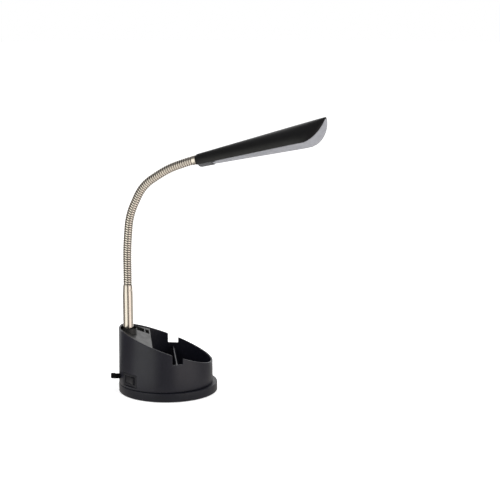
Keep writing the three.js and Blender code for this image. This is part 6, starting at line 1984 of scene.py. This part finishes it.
@dataclass
class RockerSwitch:
    """Rocker switch in the cup's wall: bezel with its body, and the rocker."""

    face: float = 0.0558  # Distance of the bezel's face from the cup's axis
    bezel: Triple = (0.0245, 0.0154, 0.0015)  # Width, height and thickness of the bezel's flange
    body: Triple = (0.02, 0.0114, 0.017)  # Width, height and depth of the body
    wall: float = 0.0011  # Thickness of the body's wall
    rocker: Pair = (0.016, 0.0084)  # Width and height of the rocker
    pivot: float = 0.053  # Distance of the rocker's pins from the cup's axis
    tilt: float = -8.0  # Tilt of the rocker at rest, degrees

    def build(self) -> None:
        """Makes the bezel and the rocker."""
        bezel = raw_object("switch_frame", PLAN.at_switch(self.flange()))
        back = self.face - self.body[2]
        body = (self.body[0] / 2, self.body[1] / 2)
        opening = (body[0] - self.wall, body[1] - self.wall)
        tools = [(Cut.ADD, self.box(body, (back, self.face - 0.0008), 0.0006)),
                 (Cut.AWAY, self.box(opening, (back + self.wall, self.face + 0.003), 0.0004))]
        carve(bezel, tools, 0.00022)
        finish_object(bezel, SWITCH_BLACK, ("switch_bezel",))
        rocker = raw_object("switch_rocker_cap", self.rocker_shell(), self.pin_shell())
        finish_object(rocker, ROCKER_BLACK, ("switch_rocker",), Body.ROCKER)

    def flange(self) -> Shell:
        """Flange with round corners and edges."""
        half_width, half_height = self.bezel[0] / 2, self.bezel[1] / 2
        outline = box_outline((-half_width, half_width), (-half_height, half_height), 0.001, 5)
        return facing(padded_slab(outline, self.face - self.bezel[2], self.face, 0.0005, 4))

    def box(self, half: Pair, depth: Pair, corner: float) -> Piece:
        """Makes a tool with round corners in the switch's frame."""
        outline = box_outline((-half[0], half[0]), (-half[1], half[1]), corner, 3)
        return raw_object("tool", PLAN.at_switch(facing(prism(outline, *depth))))

    def rocker_shell(self) -> Shell:
        """Rocker whose face dips to the middle: depth 3 mm + 0.6 mm |across / half|^1.3, round edges.

        Returns:
            The closed shell.
        """
        half = self.rocker[0] / 2
        across = np.linspace(-half, half, 41)
        edge, back_depth = 0.0008, -0.0022
        depth = 0.003 + 0.0006 * np.abs(across / half) ** 1.3
        face = joined(depth - edge * fall_off((np.abs(across) - half + edge) / edge), across)
        back = np.array([(back_depth, half), (back_depth, -half)])
        outline = np.concatenate([face, densified(np.concatenate([face[-1:], back, face[:1]]), 0.001)[1:-1]])
        shell = padded_slab(outline, -self.rocker[1] / 2, self.rocker[1] / 2, 0.0004, 4)
        return self.on_pins(shell)

    def pin_shell(self) -> Shell:
        """Pins that the rocker turns on."""
        reach = self.rocker[1] / 2 + 0.0008
        return self.on_pins(turned(rod(0.001, -reach, reach), 24))

    def on_pins(self, shell: Shell) -> Shell:
        """Tilts a shell drawn round the pins and moves it to the switch."""
        return PLAN.at_switch(moved(shell, radians(self.tilt), (self.pivot, 0.0, 0.0)))


@dataclass
class Boot:
    """Right-angle boot that leads the cord out of the cup and down along its back."""

    flange: Pair = (-0.05347, -0.05507)  # Inner and outer face of the flange, along X
    shoulder: float = -0.05926  # Place along X of the shoulder outside the wall
    outlet_x: float = -0.0666  # Place along X of the outlet's axis
    bend: float = 0.0046  # Radius of the bend
    outlet: float = 0.0165  # Length of the outlet past the bend
    # Radii of the flange and the throat, and half widths of the boot and its end
    sizes: tuple[float, ...] = (0.0046, 0.0029, 0.0031, 0.0028)
    squareness: float = 6.0  # Power of the section |a|^n + |b|^n = 1
    groove: float = 0.00045  # Depth of the grooves
    groove_pitch: float = 0.0024  # Distance from groove to groove

    def build(self) -> None:
        """Sweeps the flange, the throat, the bend and the grooved outlet."""
        path, out = self.path()
        wide, throat, body, end = self.sizes
        radius = np.full(len(path), body)
        radius[:7] = (wide - 0.0002, wide, wide, throat, throat, body - 0.0003, body)
        share = (out - self.bend) / self.outlet
        wave = np.clip(2.2 * np.cos(TURN * (out - self.bend) / self.groove_pitch) - 1.2, 0.0, 1.0)
        ridge = self.groove * wave * (share > 0.12) * (share < 0.93)
        tip = 0.0005 * fall_off((share - 0.97) / 0.03)
        radius[-len(out):] = body + (end - body) * share - ridge - tip
        angle = circle(56)[None, :]
        power = np.full((len(path), 1), self.squareness)
        power[:5] = 2.0
        square = np.abs(np.cos(angle)) ** power + np.abs(np.sin(angle)) ** power
        fall = radians(PLAN.cord_droop)
        side = np.broadcast_to(np.array([0.0, sin(fall), cos(fall)]), path.shape)
        boot = swept(path, side, radius[:, None] * square ** (-1 / power), 56)
        make("cord_boot", BOOT_BLACK, ("strain_relief",), boot)

    def path(self) -> tuple[Array, Array]:
        """Runs straight out of the cup, round the bend and down.

        Returns:
            The axis, and the distances from the root at which the outlet's points lie.
        """
        corner = self.outlet_x + self.bend
        turn = quarter(16)[1:-1]
        steps = [self.flange[0], self.flange[0] - 0.00001, self.flange[1], self.flange[1] - 0.00001,
                 self.shoulder + 0.00001, self.shoulder, self.shoulder - 0.0003]
        straight = np.concatenate([steps, np.linspace(self.shoulder - 0.0008, corner, 6)])
        out = np.linspace(self.bend, self.bend + self.outlet, 90)
        x = np.concatenate([straight, corner - self.bend * np.sin(turn), np.full(90, self.outlet_x)])
        away = np.concatenate([np.zeros(len(straight)), self.bend * (1 - np.cos(turn)), out])
        fall = radians(PLAN.cord_droop)
        root_y, level = PLAN.cord_place
        return joined(x, root_y + away * cos(fall), level - away * sin(fall)), out


# Pieces that keep the frame's own shape


@dataclass
class InnerPieces:
    """Screws, nuts, boards, wires and leads inside the lamp, which keep their shape and get a finish."""

    nodes: dict[str, Piece]  # The frame's nodes

    def dress(self) -> None:
        """Gives each piece its finish by the start of its name."""
        groups = {
            ZINC: ("ballast_plate", "post_nipple", "post_washer", "driver_screw", "case_screw",
                   "head_screw"),
            BRASS: ("post_nut", "head_nut", "switch_terminal"),
            BASE_BLACK: ("base_cover",),
            SHEET: ("heat_plate",),
            BOARD: ("light_board", "driver_board"),
            WIRE: ("neck_wire", "head_lead", "supply_lead", "post_lead"),
        }
        for finish, starts in groups.items():
            names = [name for name in self.nodes if name.startswith(starts)]
            for name in names:
                materials = self.nodes[name].data.materials
                materials.clear()
                materials.append(finish.material())
            log.info("%s: %d pieces inside", finish.slot, len(names))


def main() -> None:
    """Builds the studio and every sub-assembly."""
    logging.basicConfig(level=logging.INFO, format="%(message)s")
    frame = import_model()
    Studio().build()
    for part in (SupplyCord, Base, PenCup, Divider, Deck, Post, Gooseneck, LampHead, RockerSwitch, Boot):
        log.info(part.__name__)
        part().build()
    InnerPieces(frame["nodes"]).dress()


if __name__ == "__main__":
    main()
